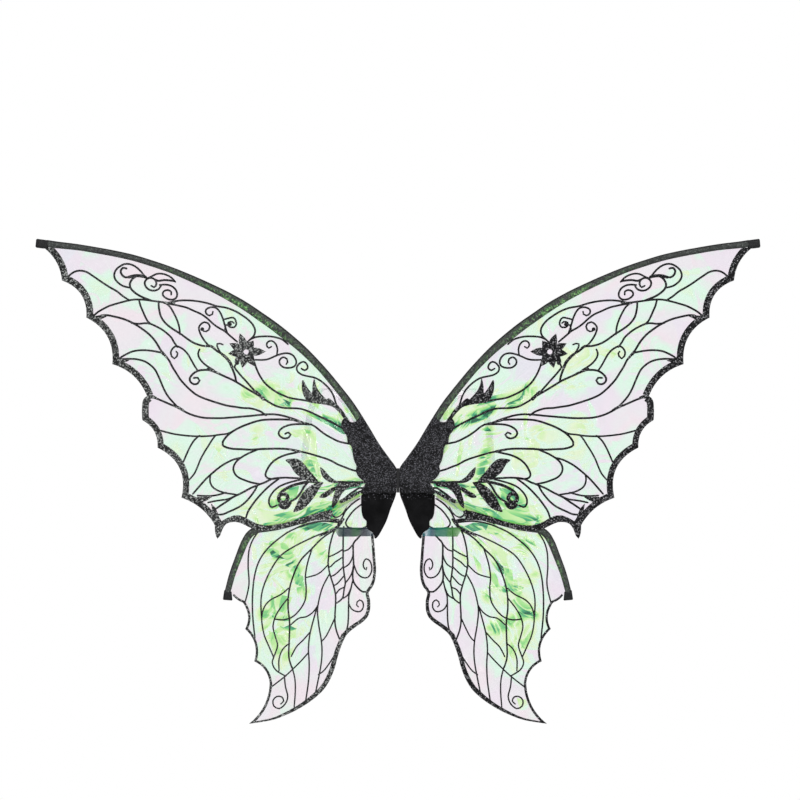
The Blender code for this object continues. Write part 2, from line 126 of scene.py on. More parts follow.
# Printed lines of the upper wing: (width, points). Long veins first, then curls and sprigs.
UPPER_LINES = [
    (2.3, [(356, 238.5), (364, 243.5), (372, 250), (380, 254.5), (388, 259.5), (396, 265), (404, 270.5),
           (411, 275), (418, 277), (425, 276.5), (431, 273.5), (436, 269)]),
    (2.3, [(197, 186), (191.5, 191), (189.5, 198), (192, 205), (198, 212), (206, 218), (216, 224),
           (228, 228.5), (240, 230.5), (251, 234), (262, 236.5), (275, 238), (288, 238),
           (298, 236.5), (304, 235), (314, 236), (326, 237.5), (338, 239), (350, 239), (360, 237),
           (371, 234), (382, 230.5), (391, 226), (398, 221.5), (404, 216)]),
    (2.3, [(308, 234), (300, 233), (290, 231), (280, 228.5), (270, 224), (260, 219.5), (252, 213.5),
           (245, 207), (238, 202), (230, 197.5), (223, 191.5), (213, 183)]),
    (2.2, [(146, 180), (153, 186), (161, 189), (170, 190.5), (180, 190.5), (189, 189.5),
           (196, 186.5), (201, 182)]),
    (2.2, [(226, 194), (228.5, 201), (230.5, 208), (233, 216), (237, 224), (242, 228.5), (249, 229),
           (254.5, 226), (254.5, 221), (250, 218), (246, 220), (245.5, 223.5)]),
    (2.1, [(231, 213), (225, 214.5), (219, 215.5), (215.5, 212), (214.5, 206.5), (217.5, 202.5),
           (222, 202.5), (226, 205.5), (225, 209), (220, 210), (217.5, 208)]),
    (2.2, [(228, 196), (229.5, 201), (228, 206)]),
    (2.2, [(250, 177), (256, 184), (260, 190), (263, 196.5), (264, 202), (261.5, 206.5), (256.5, 209.5),
           (252, 208), (249.5, 203.5), (251, 199), (254.5, 197), (258, 197.5)]),
    (2.4, [(247, 177.5), (255, 177.5), (263, 179), (271, 182), (279, 187), (287, 193), (295, 198),
           (303, 203.5), (309, 209), (314, 216.5), (316, 224), (317, 231), (317, 237)]),
    (2.2, [(289, 193), (289.5, 200), (291, 207), (294, 215), (298, 223), (302, 229.5), (308, 234.5)]),
    (2.3, [(343, 239), (341, 231), (338, 224), (335, 217), (331.5, 210.5), (327, 206.5)]),
    (2.3, [(353, 208), (343, 207), (335, 207.8), (328, 207), (320, 203.5), (312, 199), (305, 193.5),
           (300, 188.5), (297, 183), (292, 176)]),
    (2.5, [(393, 218), (385, 218.3), (377, 216.8), (369, 215), (361, 212.5), (353, 209), (345, 204.5),
           (337, 199), (330, 193.5), (323, 186), (318, 178.5), (314, 171.5), (311, 166)]),
    (2.2, [(265, 144.5), (269.5, 151), (274, 159), (278, 166), (283, 172), (289, 176), (294, 177.5),
           (298.5, 174.5), (301, 169.5), (300, 164), (296.5, 161), (293, 164), (292, 168),
           (294, 170.5)]),
    (2.4, [(175, 85.5), (181, 90), (188, 93), (196, 95), (206, 95.5), (216, 97), (226, 98.5),
           (237, 101.5), (248, 105), (259, 109), (268, 113.5), (276, 120), (283, 127), (289, 134),
           (294, 142), (299, 150), (303, 158), (308, 164.5), (313, 169)]),
    (2.3, [(310, 168), (319, 170), (330, 171.7), (341, 172), (351, 170.5), (359, 167), (366, 163),
           (371, 159)]),
    (2.3, [(369, 160), (360, 160.5), (351, 160.5), (343, 159.5), (335, 157), (328, 152.5),
           (322, 146.5), (318, 139), (314.5, 131), (311, 122.5), (307, 114.5), (302, 107.5),
           (297, 102), (291, 95.5)]),
    (2.4, [(331, 110.5), (324, 109.3), (316, 106.5), (308, 103), (300, 99.5), (292, 96), (284, 91.5),
           (276, 87.5), (267, 84.5), (257, 82.5), (246, 82), (234, 82), (222, 82.8), (210, 83.8),
           (198, 84.8), (186, 86), (175, 87), (164, 87), (154, 85.5), (145, 83), (136, 80),
           (127, 76.5)]),
    (2.5, [(138, 79.5), (150, 80.2), (160, 80.3), (170, 80.2), (180, 79.5), (189, 77.5), (198, 74.5),
           (207, 71), (215, 67), (222, 62.5), (228, 57), (232.5, 50.5), (232.5, 46), (227, 43),
           (219, 41.3), (208, 40.8), (196, 40.2), (184, 40.8), (172, 41.3), (160, 41.5),
           (150, 41.2), (140, 40), (130, 37.5)]),
    (2.1, [(217, 66), (226, 61.5), (236, 60.2), (246, 58.7), (257, 58), (268, 58), (279, 58.7),
           (290, 60), (300, 61.7), (318, 66.5)]),
    (2.0, [(241, 60), (246, 54), (251, 46), (257, 36.5), (262, 27), (266, 17), (270, 8.5), (277, 0)]),
    (2.1, [(263, 59), (269, 54), (274, 47), (279, 37), (285, 23)]),
    (2.3, [(174, 41.5), (184, 41), (192, 38), (200, 34.5), (207, 30.5), (213, 26), (217, 20.5),
           (218.5, 14), (216, 7.5), (211, 3), (203, -0.5), (194, -3.5), (183, -5.5)]),
    (2.3, [(208, 29.5), (217, 27.5), (225, 24), (233, 19.5), (241, 13.5), (248, 7.5), (254, 2),
           (260, -4.5), (266, -11.5), (272, -18.5)]),
    (2.1, [(248.5, 7.5), (249.5, 0.5), (248, -6), (244, -11), (237, -14.8), (229, -17.3),
           (221, -18.5), (212, -20)]),
    (2.1, [(228, -16.5), (236, -19), (245, -20.8), (255, -21.2), (266, -20.5)]),
    (2.4, [(152, 3), (160, 2.5), (168, 1), (176, -3), (184, -6), (190, -8.5), (196, -11),
           (204, -15.5), (212, -19.5), (220, -23.5), (227, -28.5), (234, -33), (242, -38.5)]),
    (2.1, [(218, -22), (226, -25.5), (234, -26.7), (243, -28), (252, -30)]),
    (2.3, [(186, -6), (190, -14), (195, -21), (201, -28), (208, -34), (216, -38.5), (225, -42.5),
           (232, -45.5), (240, -46)]),
    (2.4, [(130, 37.5), (139, 35.5), (148, 33.5), (156, 30.5), (163, 26.5), (169, 21), (173.5, 14),
           (176, 7.5), (174, 3), (168, 1.2), (160, 2.2), (150, 3), (140, 2.5), (130, 2), (118, 1)]),
    (2.3, [(52, 11), (62, 13.5), (71, 17), (80, 20.5), (88, 25), (96, 28.3), (104, 30.8), (113, 33.5),
           (122, 36), (132, 38)]),
    (2.3, [(62, 47.5), (73, 49.5), (80, 51.5), (88, 55.5), (96, 60), (103, 65), (109, 70),
           (116, 74)]),
    (2.4, [(114, 73.5), (125, 74), (135, 74), (144, 73), (151, 70.5), (156.5, 66.5), (158.5, 61.5),
           (155.5, 57), (150, 55), (145, 56.5), (142.5, 60), (145.5, 63), (150, 61)]),
    (2.3, [(68, 65), (78, 71), (87, 76), (96, 80.5), (104, 84), (112, 88), (121, 91.8), (130, 94.5),
           (140, 95.2), (150, 95.5), (160, 97.5), (170, 102.5), (180, 109), (188, 116),
           (195, 123.5), (202, 131.5), (208, 138), (213, 144), (217, 150), (214, 155)]),
    (2.5, [(178, 108), (188, 114), (198, 119.8), (208, 126), (218, 132), (229, 137), (240, 142),
           (249, 145.5), (258, 146), (266, 144.5), (272, 140.5), (276, 135), (275, 130),
           (270.5, 127), (265.5, 128), (263, 132), (265.5, 135.5), (271, 135.3)]),
    (2.6, [(214.5, 130), (216.5, 139), (219.5, 147), (222.5, 155), (227, 162), (233, 167), (240, 171),
           (246, 176), (252, 179)]),
    (2.1, [(235, 168.5), (239, 175), (240, 180.5), (236, 181), (232, 179.5)]),
    (2.2, [(244, 145.5), (253, 151), (259, 156), (263.5, 162), (265, 168), (263, 173.5)]),
    (2.3, [(112, 103.5), (126, 106), (135, 107.3), (144, 109), (153, 112.5), (162, 117), (170, 122.5),
           (177, 129), (182, 136), (186, 143.5), (189, 151), (191, 158)]),
    (2.2, [(80, 96), (83, 103), (85, 110), (89, 118), (95, 125), (102, 131), (110, 135.5),
           (119, 137.5), (127, 139.5), (133, 143.5), (134.5, 149), (131, 154.5), (125.5, 157),
           (121, 153.5), (120, 148.5), (124, 145.5), (128.5, 148)]),
    (2.2, [(190, 159.5), (180, 159.3), (172, 160.5), (164, 164), (156, 167), (148, 168.3), (141, 166.5),
           (136.5, 161.5), (135, 155.5), (138, 150.5), (145, 148.7), (152, 149.5), (157, 154),
           (157, 159.5), (152.5, 163), (147.5, 160.5), (146.5, 156.5), (148.5, 153.5)]),
    (2.1, [(161, 165.5), (160, 173), (162, 180), (167, 184.5), (172.5, 183.5), (174.5, 179),
           (171.5, 175), (168, 177)]),
    # scroll group near the leading edge
    (2.3, [(336, 271), (342, 278), (348, 283), (355, 286), (362, 286), (368, 283), (373, 278.5),
           (375.5, 272.5), (374.5, 266.5), (370.5, 261.5), (364, 257), (354, 254.5)]),
    (2.6, [(347, 269.5), (352, 266), (355, 259.5), (353.5, 253.5), (348, 248), (341, 243.5),
           (334, 240.5), (326, 237.5)]),
    (4.0, [(334, 269), (341, 270.5), (349, 270.5), (357, 268.5)]),
    (2.6, [(354, 269), (361, 268.5), (365.5, 272), (367, 277), (364, 281), (359, 280)]),
    (2.6, [(296, 263.5), (302, 264.5), (310, 265), (318, 264), (324, 267)]),
    (2.2, [(295, 262.5), (300, 268), (306, 271.5), (313, 273.5), (320, 273), (326, 270), (332, 267.5),
           (337, 269)]),
    (2.4, [(314, 257.5), (316.5, 253.5), (322, 251), (328.5, 251.7), (333.5, 255.5), (335.5, 261),
           (333, 266), (327, 268), (321.5, 265), (320, 259.5), (323, 255.3), (327, 257.5)]),
    (2.3, [(316, 258.5), (308, 259), (301, 257.5), (295.5, 253.5), (292.5, 247), (294, 241.5),
           (299, 239), (306, 240.3), (311.5, 245), (310.5, 250), (305, 251.8), (300.5, 249.5),
           (300.5, 245.5)]),
    # scroll below the sprig
    (2.2, [(128, 0.5), (137, -1.5), (145, -3.7), (153, -6.6), (160, -10.5), (167, -17.5),
           (171.3, -26), (170.6, -33), (166.9, -36.3), (160.5, -33.5)]),
    (3.6, [(120, -2.5), (137, -6.5), (147, -10.8), (155, -16.5), (159, -23), (158, -29)]),
    (4.6, [(157.5, -33), (154.5, -36), (149.5, -37), (145.5, -34), (143, -29.5)]),
    (2.6, [(119, -3), (124, -8), (129.8, -17.9), (135.9, -25), (143, -28.6)]),
    (2.3, [(158, 1.5), (165, -3.5), (173, -10), (181, -18), (188, -26), (194, -34), (199, -42),
           (202, -51)]),
    # stems at the yoke
    (3.0, [(42, -3), (55, -3.5), (66, -3.5), (76, -3), (85, -3)]),
    (2.6, [(102.5, -4), (110, -3), (118, -2.5)]),
    (2.4, [(46, -11), (52, -11), (58, -15), (64, -19), (70, -24)]),
    (2.2, [(48, -22), (57, -29), (64, -36.5), (69, -44)]),
    (2.2, [(67.5, -36), (71, -42), (75, -47), (81, -50), (87, -47.5), (91, -40)]),
]

# Heavier joins where printed lines meet: (start width, end width, points).
UPPER_WEDGES = [
    (2.5, 4.2, [(118, 74.5), (126, 76), (134, 78.5), (142, 81)]),
    (4.2, 2.4, [(130, 37.5), (137, 39.2), (145, 40.3)]),
    (2.4, 4.6, [(236, 141), (244, 144), (252, 147.5)]),
    (4.6, 3.4, [(220, 149), (223, 156), (228, 162), (234, 167)]),
    (3.0, 4.4, [(243, 174.5), (248, 177.5), (254, 178)]),
    (3.6, 3.0, [(306, 162), (311, 168), (315, 173)]),
    (3.2, 4.4, [(284, 92), (290, 95.5), (297, 99)]),
    (3.0, 4.0, [(296, 235), (303, 234.5), (310, 235)]),
    (4.4, 6.0, [(66, 78), (71, 84), (76, 91), (82, 97)]),
    (6.0, 4.0, [(80, 96), (88, 100.5), (98, 102.5), (108, 103.5), (118, 104.5)]),
    (6.0, 4.0, [(52, -6), (62, -7), (72, -8), (80, -7)]),
    (3.4, 5.4, [(48, -14.5), (57, -19.5), (66, -24.5), (76, -29)]),
    (3.6, 3.6, [(147, -31.5), (151, -32.6), (155, -31.8)]),
    (3.0, 8.5, [(386, 217.5), (394, 215.5), (402, 213)]),
    (3.0, 8.0, [(357, 159), (364, 158), (371, 156.5)]),
    (3.0, 9.0, [(248, -22), (257, -25.5), (266, -26)]),
    (3.0, 7.0, [(320, 109), (326, 110.5), (333, 110)]),
    (2.0, 5.5, [(184, 115), (190, 118.5), (178, 107)]),
]

# Filled leaves: outlines drawn by their bends.
UPPER_LEAVES = [
    [(90, 101), (95, 107), (100, 112), (105, 118), (109, 126), (111, 136), (113.5, 126), (114, 118),
     (114.5, 111), (114, 104)],
    [(106, 103), (111, 111), (116, 117), (120.5, 123), (125.5, 132), (127.5, 131), (127.8, 122),
     (126, 114), (122.5, 107), (117, 103)],
    [(82, 97), (86, 104), (92, 108.5), (96, 105), (96, 100)],
    [(78, -4), (85, 0.5), (91, 5), (96, 11), (103, 17), (102.5, 10), (100, 4), (95, -1), (88, -4)],
    [(106, -2.5), (112, 6), (118.5, 13.5), (124.5, 21), (131.5, 27), (139, 28.5), (149.5, 26.5),
     (144.5, 21.5), (141, 16), (137.5, 10), (131, 4.5), (125, 1), (117, -2)],
    [(99, -3), (104, -11), (110, -21), (116.5, -29.5), (124, -37.5), (131, -41), (139, -42.5),
     (135, -33), (130, -22), (122.5, -13), (114, -6.5), (107, -4)],
    [(80, -9), (86, -16), (92, -21), (98, -24), (104.5, -23), (101, -18.5), (94, -14.5), (87, -10)],
    [(54, -6), (65, -10.5), (73, -16.5), (77.5, -24), (81.5, -32), (87.5, -38), (87.5, -29), (85.5, -21),
     (83.5, -14), (82, -8), (76, -4)],
]
FLOWER_MIDDLE = (201.5, 170)
EYE_MIDDLE, EYE_RADIUS, EYE_WIDTH = (152.3, -24.2), 5.9, 5.4
FLOWER_EYE = 3.4
FLOWER_PETALS = [(71, 26), (27, 25), (-6, 24), (-42, 21), (-76, 22), (-120, 22), (179, 26), (123, 18)]

# Printed lines of the lower wing.
LOWER_LINES = [
    (2.2, [(39, -148), (46.6, -149), (54, -143), (59.3, -135), (60.2, -125), (59, -114),
           (59.5, -99), (59.3, -85), (55, -79.5), (50, -74)]),
    (1.8, [(58.5, -113), (54.2, -124), (47.5, -129.7), (40, -129.7), (35.6, -123.3), (34.8, -115.7),
           (37.3, -108), (42.4, -105.1), (45.8, -109.8), (45.8, -115.7), (42.4, -119.9),
           (41.5, -116.5)]),
    (1.8, [(65.3, -165), (61.9, -171.5), (56, -174.9), (50, -174.9), (46.2, -169.8), (46.6, -163),
           (50.9, -159.7), (54.2, -162.2), (55.1, -166.5), (52.6, -169)]),
    (1.9, [(60.2, -134), (63.1, -147), (65.3, -154), (65.7, -167), (66, -185), (67.5, -197),
           (72, -208), (77, -216)]),
    (2.0, [(72, -62), (72.9, -78.5), (72.9, -95.4), (72.9, -112.3), (71.6, -125), (70, -136.8),
           (71.6, -145.3), (73.7, -157.1), (81.5, -164)]),
    (2.0, [(79, -58), (84, -67), (87.3, -75), (91, -90), (92.3, -103), (92.8, -112), (90.6, -125),
           (85.6, -141), (83, -153), (83, -165), (83.9, -186), (82, -200), (76, -216)]),
    (1.8, [(91.8, -102.3), (86, -100), (80.5, -97), (73, -92.3)]),
    (1.8, [(92.5, -117), (88.5, -114.5), (84, -109.8), (73, -102.6)]),
    (1.8, [(90, -128.8), (85, -126.8), (80.5, -123.3), (72.5, -115.2)]),
    (1.8, [(86, -141), (82, -139), (78, -135.2), (71.3, -127)]),
    (1.8, [(83, -152.6), (80.5, -149), (77, -145.3), (71.5, -143)]),
    (1.8, [(72.9, -95), (66.5, -93), (62, -88.5), (58.8, -84)]),
    (1.8, [(72.3, -117), (65.3, -112.3), (61, -104.5), (59.3, -96)]),
    (1.8, [(69.8, -137), (64.4, -130), (61, -123), (59.5, -115)]),
    (1.8, [(73.7, -158), (69.5, -155.5), (66, -152), (62, -142)]),
    (1.8, [(91.5, -126), (99.9, -142), (105, -159.7), (107, -175), (105, -195), (102, -213), (101, -230),
           (103, -250), (110, -285)]),
    (1.7, [(83, -182), (95, -207), (102, -215)]),
    (1.7, [(82, -230), (97, -252), (106, -259)]),
    (1.8, [(107, -167), (112, -185), (117, -205), (119, -225), (118, -245), (119, -268), (123, -296)]),
    (1.7, [(92.8, -113), (102.5, -122.5), (110, -126.7), (122.5, -130)]),
    (1.7, [(106.5, -167), (113, -176), (122, -182), (132, -184), (143, -193)]),
    (2.0, [(83, -66), (100, -77), (115, -92), (130, -108), (140, -130), (145, -150), (146, -170),
           (144, -190), (144.5, -213), (145, -235), (141, -250)]),
    (1.8, [(114, -91), (120, -110), (123, -128), (122, -145), (123.5, -160), (130, -172),
           (140, -182), (152, -186), (164, -185)]),
    (1.7, [(145.5, -144), (155, -152), (170, -160), (178, -170), (181, -185), (178, -205),
           (172, -220), (165, -236)]),
    (1.7, [(146, -157), (156, -170), (163, -182), (166, -195), (163, -208), (160, -220),
           (164, -233), (167, -243), (162, -253), (149, -261)]),
    (1.7, [(144, -217), (153, -225), (158, -238), (158, -254)]),
    (1.7, [(116.5, -202), (126, -213), (135, -222), (142, -235)]),
    (1.7, [(118.5, -229), (130, -242), (150, -261), (172, -278)]),
    (1.7, [(141, -248), (137, -265), (136.5, -282), (138, -302)]),
    (1.8, [(151, -260), (149.5, -275), (146.5, -288), (150, -298), (158, -304), (165, -300.5),
           (166, -293), (161, -288), (154.5, -288.5), (152, -294), (156, -298)]),
    (1.8, [(83, -64), (97, -70), (110, -75), (135, -87), (155, -100), (168, -118), (178, -140),
           (182, -160), (181, -186)]),
    (1.9, [(78, -57), (90, -55.5), (100, -55), (112, -56.5), (125, -60), (138, -65.5), (150, -72),
           (170, -88), (183, -105), (190, -125), (193, -150), (193, -180), (190, -210)]),
    (1.8, [(184, -67), (193, -80), (198, -95), (199, -115), (198, -140), (204, -166)]),
    (2.0, [(46, -31), (58, -40), (66, -50), (69.5, -57), (67, -62.5), (60, -64.5), (50, -65.5),
           (42, -62)]),
    (2.0, [(46, -22), (54, -27), (62, -33), (70, -42), (74, -50), (79, -59), (85, -68)]),
    (1.8, [(40, -64.5), (52, -65), (66, -64.5), (82, -64)]),
]

# Heavier joins of the lower wing.
LOWER_WEDGES = [
    (4.4, 2.0, [(78, -54.5), (90, -52.3), (103.4, -52), (115, -53.6), (128, -58.5)]),
    (2.0, 4.0, [(56, -197), (68, -206), (76, -217)]),
    (3.0, 4.6, [(72, -52), (78, -60), (86, -67)]),
    (4.6, 2.0, [(84, -66), (94, -70), (104, -75)]),
    (2.0, 4.2, [(74, -205), (77, -214), (80, -222)]),
]

# Inner side of the print along the upper wing's lower edge: a spike, then a band that narrows.
SPIKE_BORDER = [(248, -31), (242, -37), (239, -44), (237, -50), (234, -54.5), (226, -50), (218, -47),
                (210, -47), (202, -50), (194, -55), (186, -58.5), (176, -60.5), (165, -60), (152, -57.5),
                (140, -54.5), (130, -51), (120, -47.5), (110, -44.5), (100, -42), (92, -40.5), (86, -41)]
UPPER_BORDER_WIDTHS = [9, 9, 8.75, 8.5, 9, 9, 8, 8.25, 8.5]
LOWER_BORDER_WIDTHS = [3.0, 3.0, 3.2, 3.2, 3.2, 3.4]
UPPER_DOTS = [((213.5, 155.5), 3.0), ((259.5, 200), 2.6), ((222.5, 206.5), 2.3)]
PETAL_WIDTH = 11.0
FLOWER_RADIUS = 12.0
UPPER_INK_SPREAD = 0.35
LOWER_INK_SPREAD = 0.25


# ---------------------------------------------------------------- flat geometry

def sweep(u):
    """How far every layer is bent back, away from the wearer, at u."""
    share = max(0.0, u - SWEEP_START) / (SWEEP_END - SWEEP_START)
    return SWEEP_DEPTH * share ** 1.6


def lookup(table, x):
    return float(np.interp(x, *zip(*table)))


def smooth(lo, hi, x):
    t = min(1.0, max(0.0, (x - lo) / (hi - lo)))
    return t * t * (3 - 2 * t)


def between(a, b, c, d, t):
    """Point of the smooth curve through a, b, c and d, a share t of the way from b to c."""
    return 0.5 * (2 * b + (c - a) * t + (2 * a - 5 * b + 4 * c - d) * t * t
                  + (3 * b - a - 3 * c + d) * t ** 3)


def spline(points, step):
    """Smooth path through the points, in pieces of about one step."""
    pts = [Vector(p) for p in points]
    last = len(pts) - 1
    out = []
    for i in range(last):
        four = pts[max(i - 1, 0)], pts[i], pts[i + 1], pts[min(i + 2, last)]
        count = max(1, round((four[2] - four[1]).length / step))
        out += [between(*four, k / count) for k in range(count)]
    return out + [pts[-1]]


def leaf(points):
    """Smooth closed outline through the points, in three pieces from each to the next."""
    pts = [Vector(p) for p in points[-1:] + points + points[:2]]
    return [between(*pts[i:i + 4], k / 3) for i in range(len(points)) for k in range(3)]


def chain(start, ends, step):
    """Row of shallow arcs, each with its own sag, as one path for each arc."""
    arcs = []
    p = Vector(start)
    for end, sag in ends:
        chord = Vector(end) - p
        count = max(2, round(chord.length / step))
        across = Vector((chord.y, -chord.x)).normalized()
        arcs.append([p + chord * t + across * (4 * sag * t * (1 - t))
                     for t in (k / count for k in range(count))] + [Vector(end)])
        p = Vector(end)
    return arcs


def tangents(path):
    last = len(path) - 1
    return [(path[min(i + 1, last)] - path[max(i - 1, 0)]).normalized() for i in range(last + 1)]


def offset(path, distances):
    """The path moved to the right of its run, by its own distance at each point."""
    return [p + Vector((d.y, -d.x)) * s for p, d, s in zip(path, tangents(path), distances)]


def widened(path, table, share, more=0.0):
    """The path moved to its right by a share of the width that the table gives at each u."""
    return offset(path, [share * lookup(table, p.x) + more for p in path])


def ribbon(points, w0, w1=None, step=3.2, tip=0.9):
    """Outline of a drawn line: a smooth path with a width that may change, and round ends."""
    w1 = w0 if w1 is None else w1
    path = spline(points, step)
    last = len(path) - 1
    half = [0.5 * (w0 + (w1 - w0) * i / last)
            * (tip + (1 - tip) * smooth(0, 8, min(i, last - i) * step)) for i in range(last + 1)]
    start = path[0] + (path[0] - path[1]).normalized() * half[0]
    end = path[-1] + (path[-1] - path[-2]).normalized() * half[-1]
    return [start] + offset(path, [-h for h in half]) + [end] + offset(path, half)[::-1]


def border(path, widths, overlap=1.5, step=4.0):
    """Band on the inner side of a stretch of outline, which it overlaps a little, as a closed outline."""
    dense = spline(path, step)
    ends = dense[0] - (dense[1] - dense[0]).normalized(), dense[-1] + (dense[-1] - dense[-2]).normalized()
    dense = [ends[0], *dense, ends[1]]
    return offset(dense, [-overlap] * len(dense)) + offset(dense, [widths] * len(dense))[::-1]


def petal(middle, angle, length, width):
    """Pointed oval that starts near the middle of a flower."""
    a = math.radians(angle)
    along, across = Vector((math.cos(a), math.sin(a))), Vector((-math.sin(a), math.cos(a)))
    shape = [(0.10, 0.30), (0.30, 0.44), (0.50, 0.50), (0.68, 0.40), (0.84, 0.22), (1.0, 0.0)]
    shape += [(t, -s) for t, s in shape[-2::-1]]
    return [Vector(middle) + along * (length * t) + across * (width * s) for t, s in shape]


def disc(middle, radius, count=14):
    turns = [2 * math.pi * k / count for k in range(count)]
    return [Vector(middle) + radius * Vector((math.cos(a), math.sin(a))) for a in turns]


def rounded_box(x0, x1, z0, z1, radius, steps=6):
    out = []
    for cx, cz, start in ((x1 - radius, z1 - radius, 0), (x0 + radius, z1 - radius, 90),
                          (x0 + radius, z0 + radius, 180), (x1 - radius, z0 + radius, 270)):
        turns = [math.radians(start + 90 * k / steps) for k in range(steps + 1)]
        out += [Vector((cx + radius * math.cos(a), cz + radius * math.sin(a))) for a in turns]
    return out


def as_array(path):
    return np.array([(p[0], p[1]) for p in path], float)


def covered(points, shapes, even_odd=False):
    """Whether each point of an array lies in any of the closed shapes, which may cross themselves.

    With even_odd, what one shape covers twice counts as outside it."""
    hit = np.zeros(len(points), bool)
    for shape in map(as_array, shapes):
        near = np.flatnonzero((points > shape.min(0)).all(1) & (points < shape.max(0)).all(1) & ~hit)
        x, y = points[near].T
        turns = np.zeros(len(near), int)
        for (ax, ay), (bx, by) in zip(shape, np.roll(shape, -1, axis=0)):
            left = (bx - ax) * (y - ay) - (x - ax) * (by - ay)
            turns += (ay <= y) & (by > y) & (left > 0)
            turns -= (ay > y) & (by <= y) & (left < 0)
        hit[near] = turns % 2 != 0 if even_odd else turns != 0
    return hit


def distance(points, path, closed=False):
    """Distance of each point of an array from a path."""
    starts = as_array(path)
    pairs = list(zip(starts, np.roll(starts, -1, axis=0)))
    best = np.full(len(points), 1e9)
    for a, b in pairs if closed else pairs[:-1]:
        t = np.clip(((points - a) @ (b - a)) / max(float((b - a) @ (b - a)), 1e-9), 0, 1)
        best = np.minimum(best, np.linalg.norm(points - a - np.outer(t, b - a), axis=1))
    return best


def flat_size(points, outline):
    """Extents in metres and area in square metres of a flat pattern."""
    area = 0.5 * abs(sum(a[0] * b[1] - b[0] * a[1] for a, b in zip(outline, outline[1:] + outline[:1])))
    return tuple(float(v) * MM for v in np.ptp(as_array(points), axis=0)), area * MM * MM


def spots_inside(outline, grid, clear, more=()):
    """Points of a staggered grid, and some more, that lie in the outline clear of its edge."""
    low, high = as_array(outline).min(0), as_array(outline).max(0)
    columns, rows = ((high - low) / grid).astype(int) + 1
    spots = np.array([(p[0], p[1]) for p in more]
                     + [(low[0] + i * grid, low[1] + (j + 0.5 * (i % 2)) * grid)
                        for i in range(columns) for j in range(rows)])
    keep = covered(spots, [outline]) & (distance(spots, outline, True) > clear)
    return [Vector(p) for p in spots[keep]]


lead_edge = [p for p in spline(LEAD, 5.0) if p.x >= SLEEVE_START]
lead_inner = widened(lead_edge, LEAD_WIDTH, 1.0)
low_middle = spline(LOW_LINE, 4.0)
YOKE_TOP = [Vector((1.9, 15.5))] + [p for p in spline(LEAD, 4.0) if p.x < 48]


def upper_outline():
    """Outline of the upper film, and the stretches of it that carry a printed border."""
    lead = [p for p in widened(lead_edge, LEAD_WIDTH, 1.0, -TUCK) if 21 < p.x < 456]
    arcs = chain((466, 305.8), SCALLOPS, 4.0)
    low = spline(LOWER_BORDER, 4.0)
    scallops = [p for a in arcs for p in a[:-1]]
    root = [Vector((30, -8)), Vector((22, 4))]
    return lead + [Vector((461.5, 307.4))] + scallops + low + root, arcs, low


def lower_outline():
    """The same for the lower film."""
    root = [Vector((20, -30)), Vector((32, -26)), Vector((46, -26.5))]
    lead = widened(low_middle, LOW_WIDTH, 0.5, -TUCK)[1:-1]
    arcs = chain((219, -154.2), LOW_SCALLOPS, 3.5)
    inner = spline(LOW_INNER, 4.0)
    scallops = [p for a in arcs for p in a[:-1]]
    return root + lead + scallops + inner + [Vector((25, -68)), Vector((20, -56))], arcs, inner


# ---------------------------------------------------------------- meshes

def make_object(bm, name, mat, body, sharp=45):
    bmesh.ops.recalc_face_normals(bm, faces=bm.faces)
    mesh = bpy.data.meshes.new(name)
    bm.to_mesh(mesh)
    bm.free()
    mesh.shade_smooth()
    mesh.set_sharp_from_angle(angle=math.radians(sharp))
    mesh.materials.append(mat)
    obj = bpy.data.objects.new(name, mesh)
    bpy.context.scene.collection.objects.link(obj)
    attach(obj, body)
    return obj


def world(side, u, y, z):
    return Vector((side * u * MM, (y - sweep(u)) * MM, z * MM))


def layer(side, flat, tris, fronts, backs):
    """Closed thin layer over flat triangles, between two depths at each point: skins, then rim."""
    bm = bmesh.new()
    used = sorted({i for t in tris for i in t})
    front, back = [{i: bm.verts.new(world(side, flat[i][0], y[i], flat[i][1])) for i in used}
                   for y in (fronts, backs)]
    edges = {}
    for t in tris:
        bm.faces.new([front[i] for i in t])
        bm.faces.new([back[i] for i in reversed(t)])
        for a, b in zip(t, t[1:] + t[:1]):
            edges.setdefault((min(a, b), max(a, b)), []).append((a, b))
    for (a, b), *others in edges.values():
        if not others:
            bm.faces.new([front[a], front[b], back[b], back[a]])
    return bm, used


def loft(bm, rings):
    """Faces between each ring of vertices and the next."""
    for a, b in zip(rings, rings[1:]):
        for k in range(len(a)):
            m = (k + 1) % len(a)
            bm.faces.new([a[k], a[m], b[m], b[k]])


def capped(bm, rings):
    loft(bm, rings)
    bm.faces.new(rings[0])
    bm.faces.new(rings[-1])


def tag(mesh, name, values, domain="POINT"):
    """Stores a number or a vector for each point or face corner, for the materials to read."""
    values = np.asarray(values, np.float32)
    kind, key = ("FLOAT", "value") if values.ndim == 1 else ("FLOAT_VECTOR", "vector")
    mesh.attributes.new(name, kind, domain).data.foreach_set(key, values.reshape(-1))


def tag_corners(mesh, name, used, tris, values):
    """Stores a value for each face corner of the two skins of a layer; its rim keeps 0."""
    out = np.zeros(len(mesh.loops))
    for face in mesh.polygons[:2 * len(tris)]:
        at = dict(zip(tris[face.index // 2], values[face.index // 2]))
        for k in face.loop_indices:
            out[k] = at[used[mesh.loops[k].vertex_index % len(used)]]
    tag(mesh, name, out, "CORNER")


# ---------------------------------------------------------------- materials

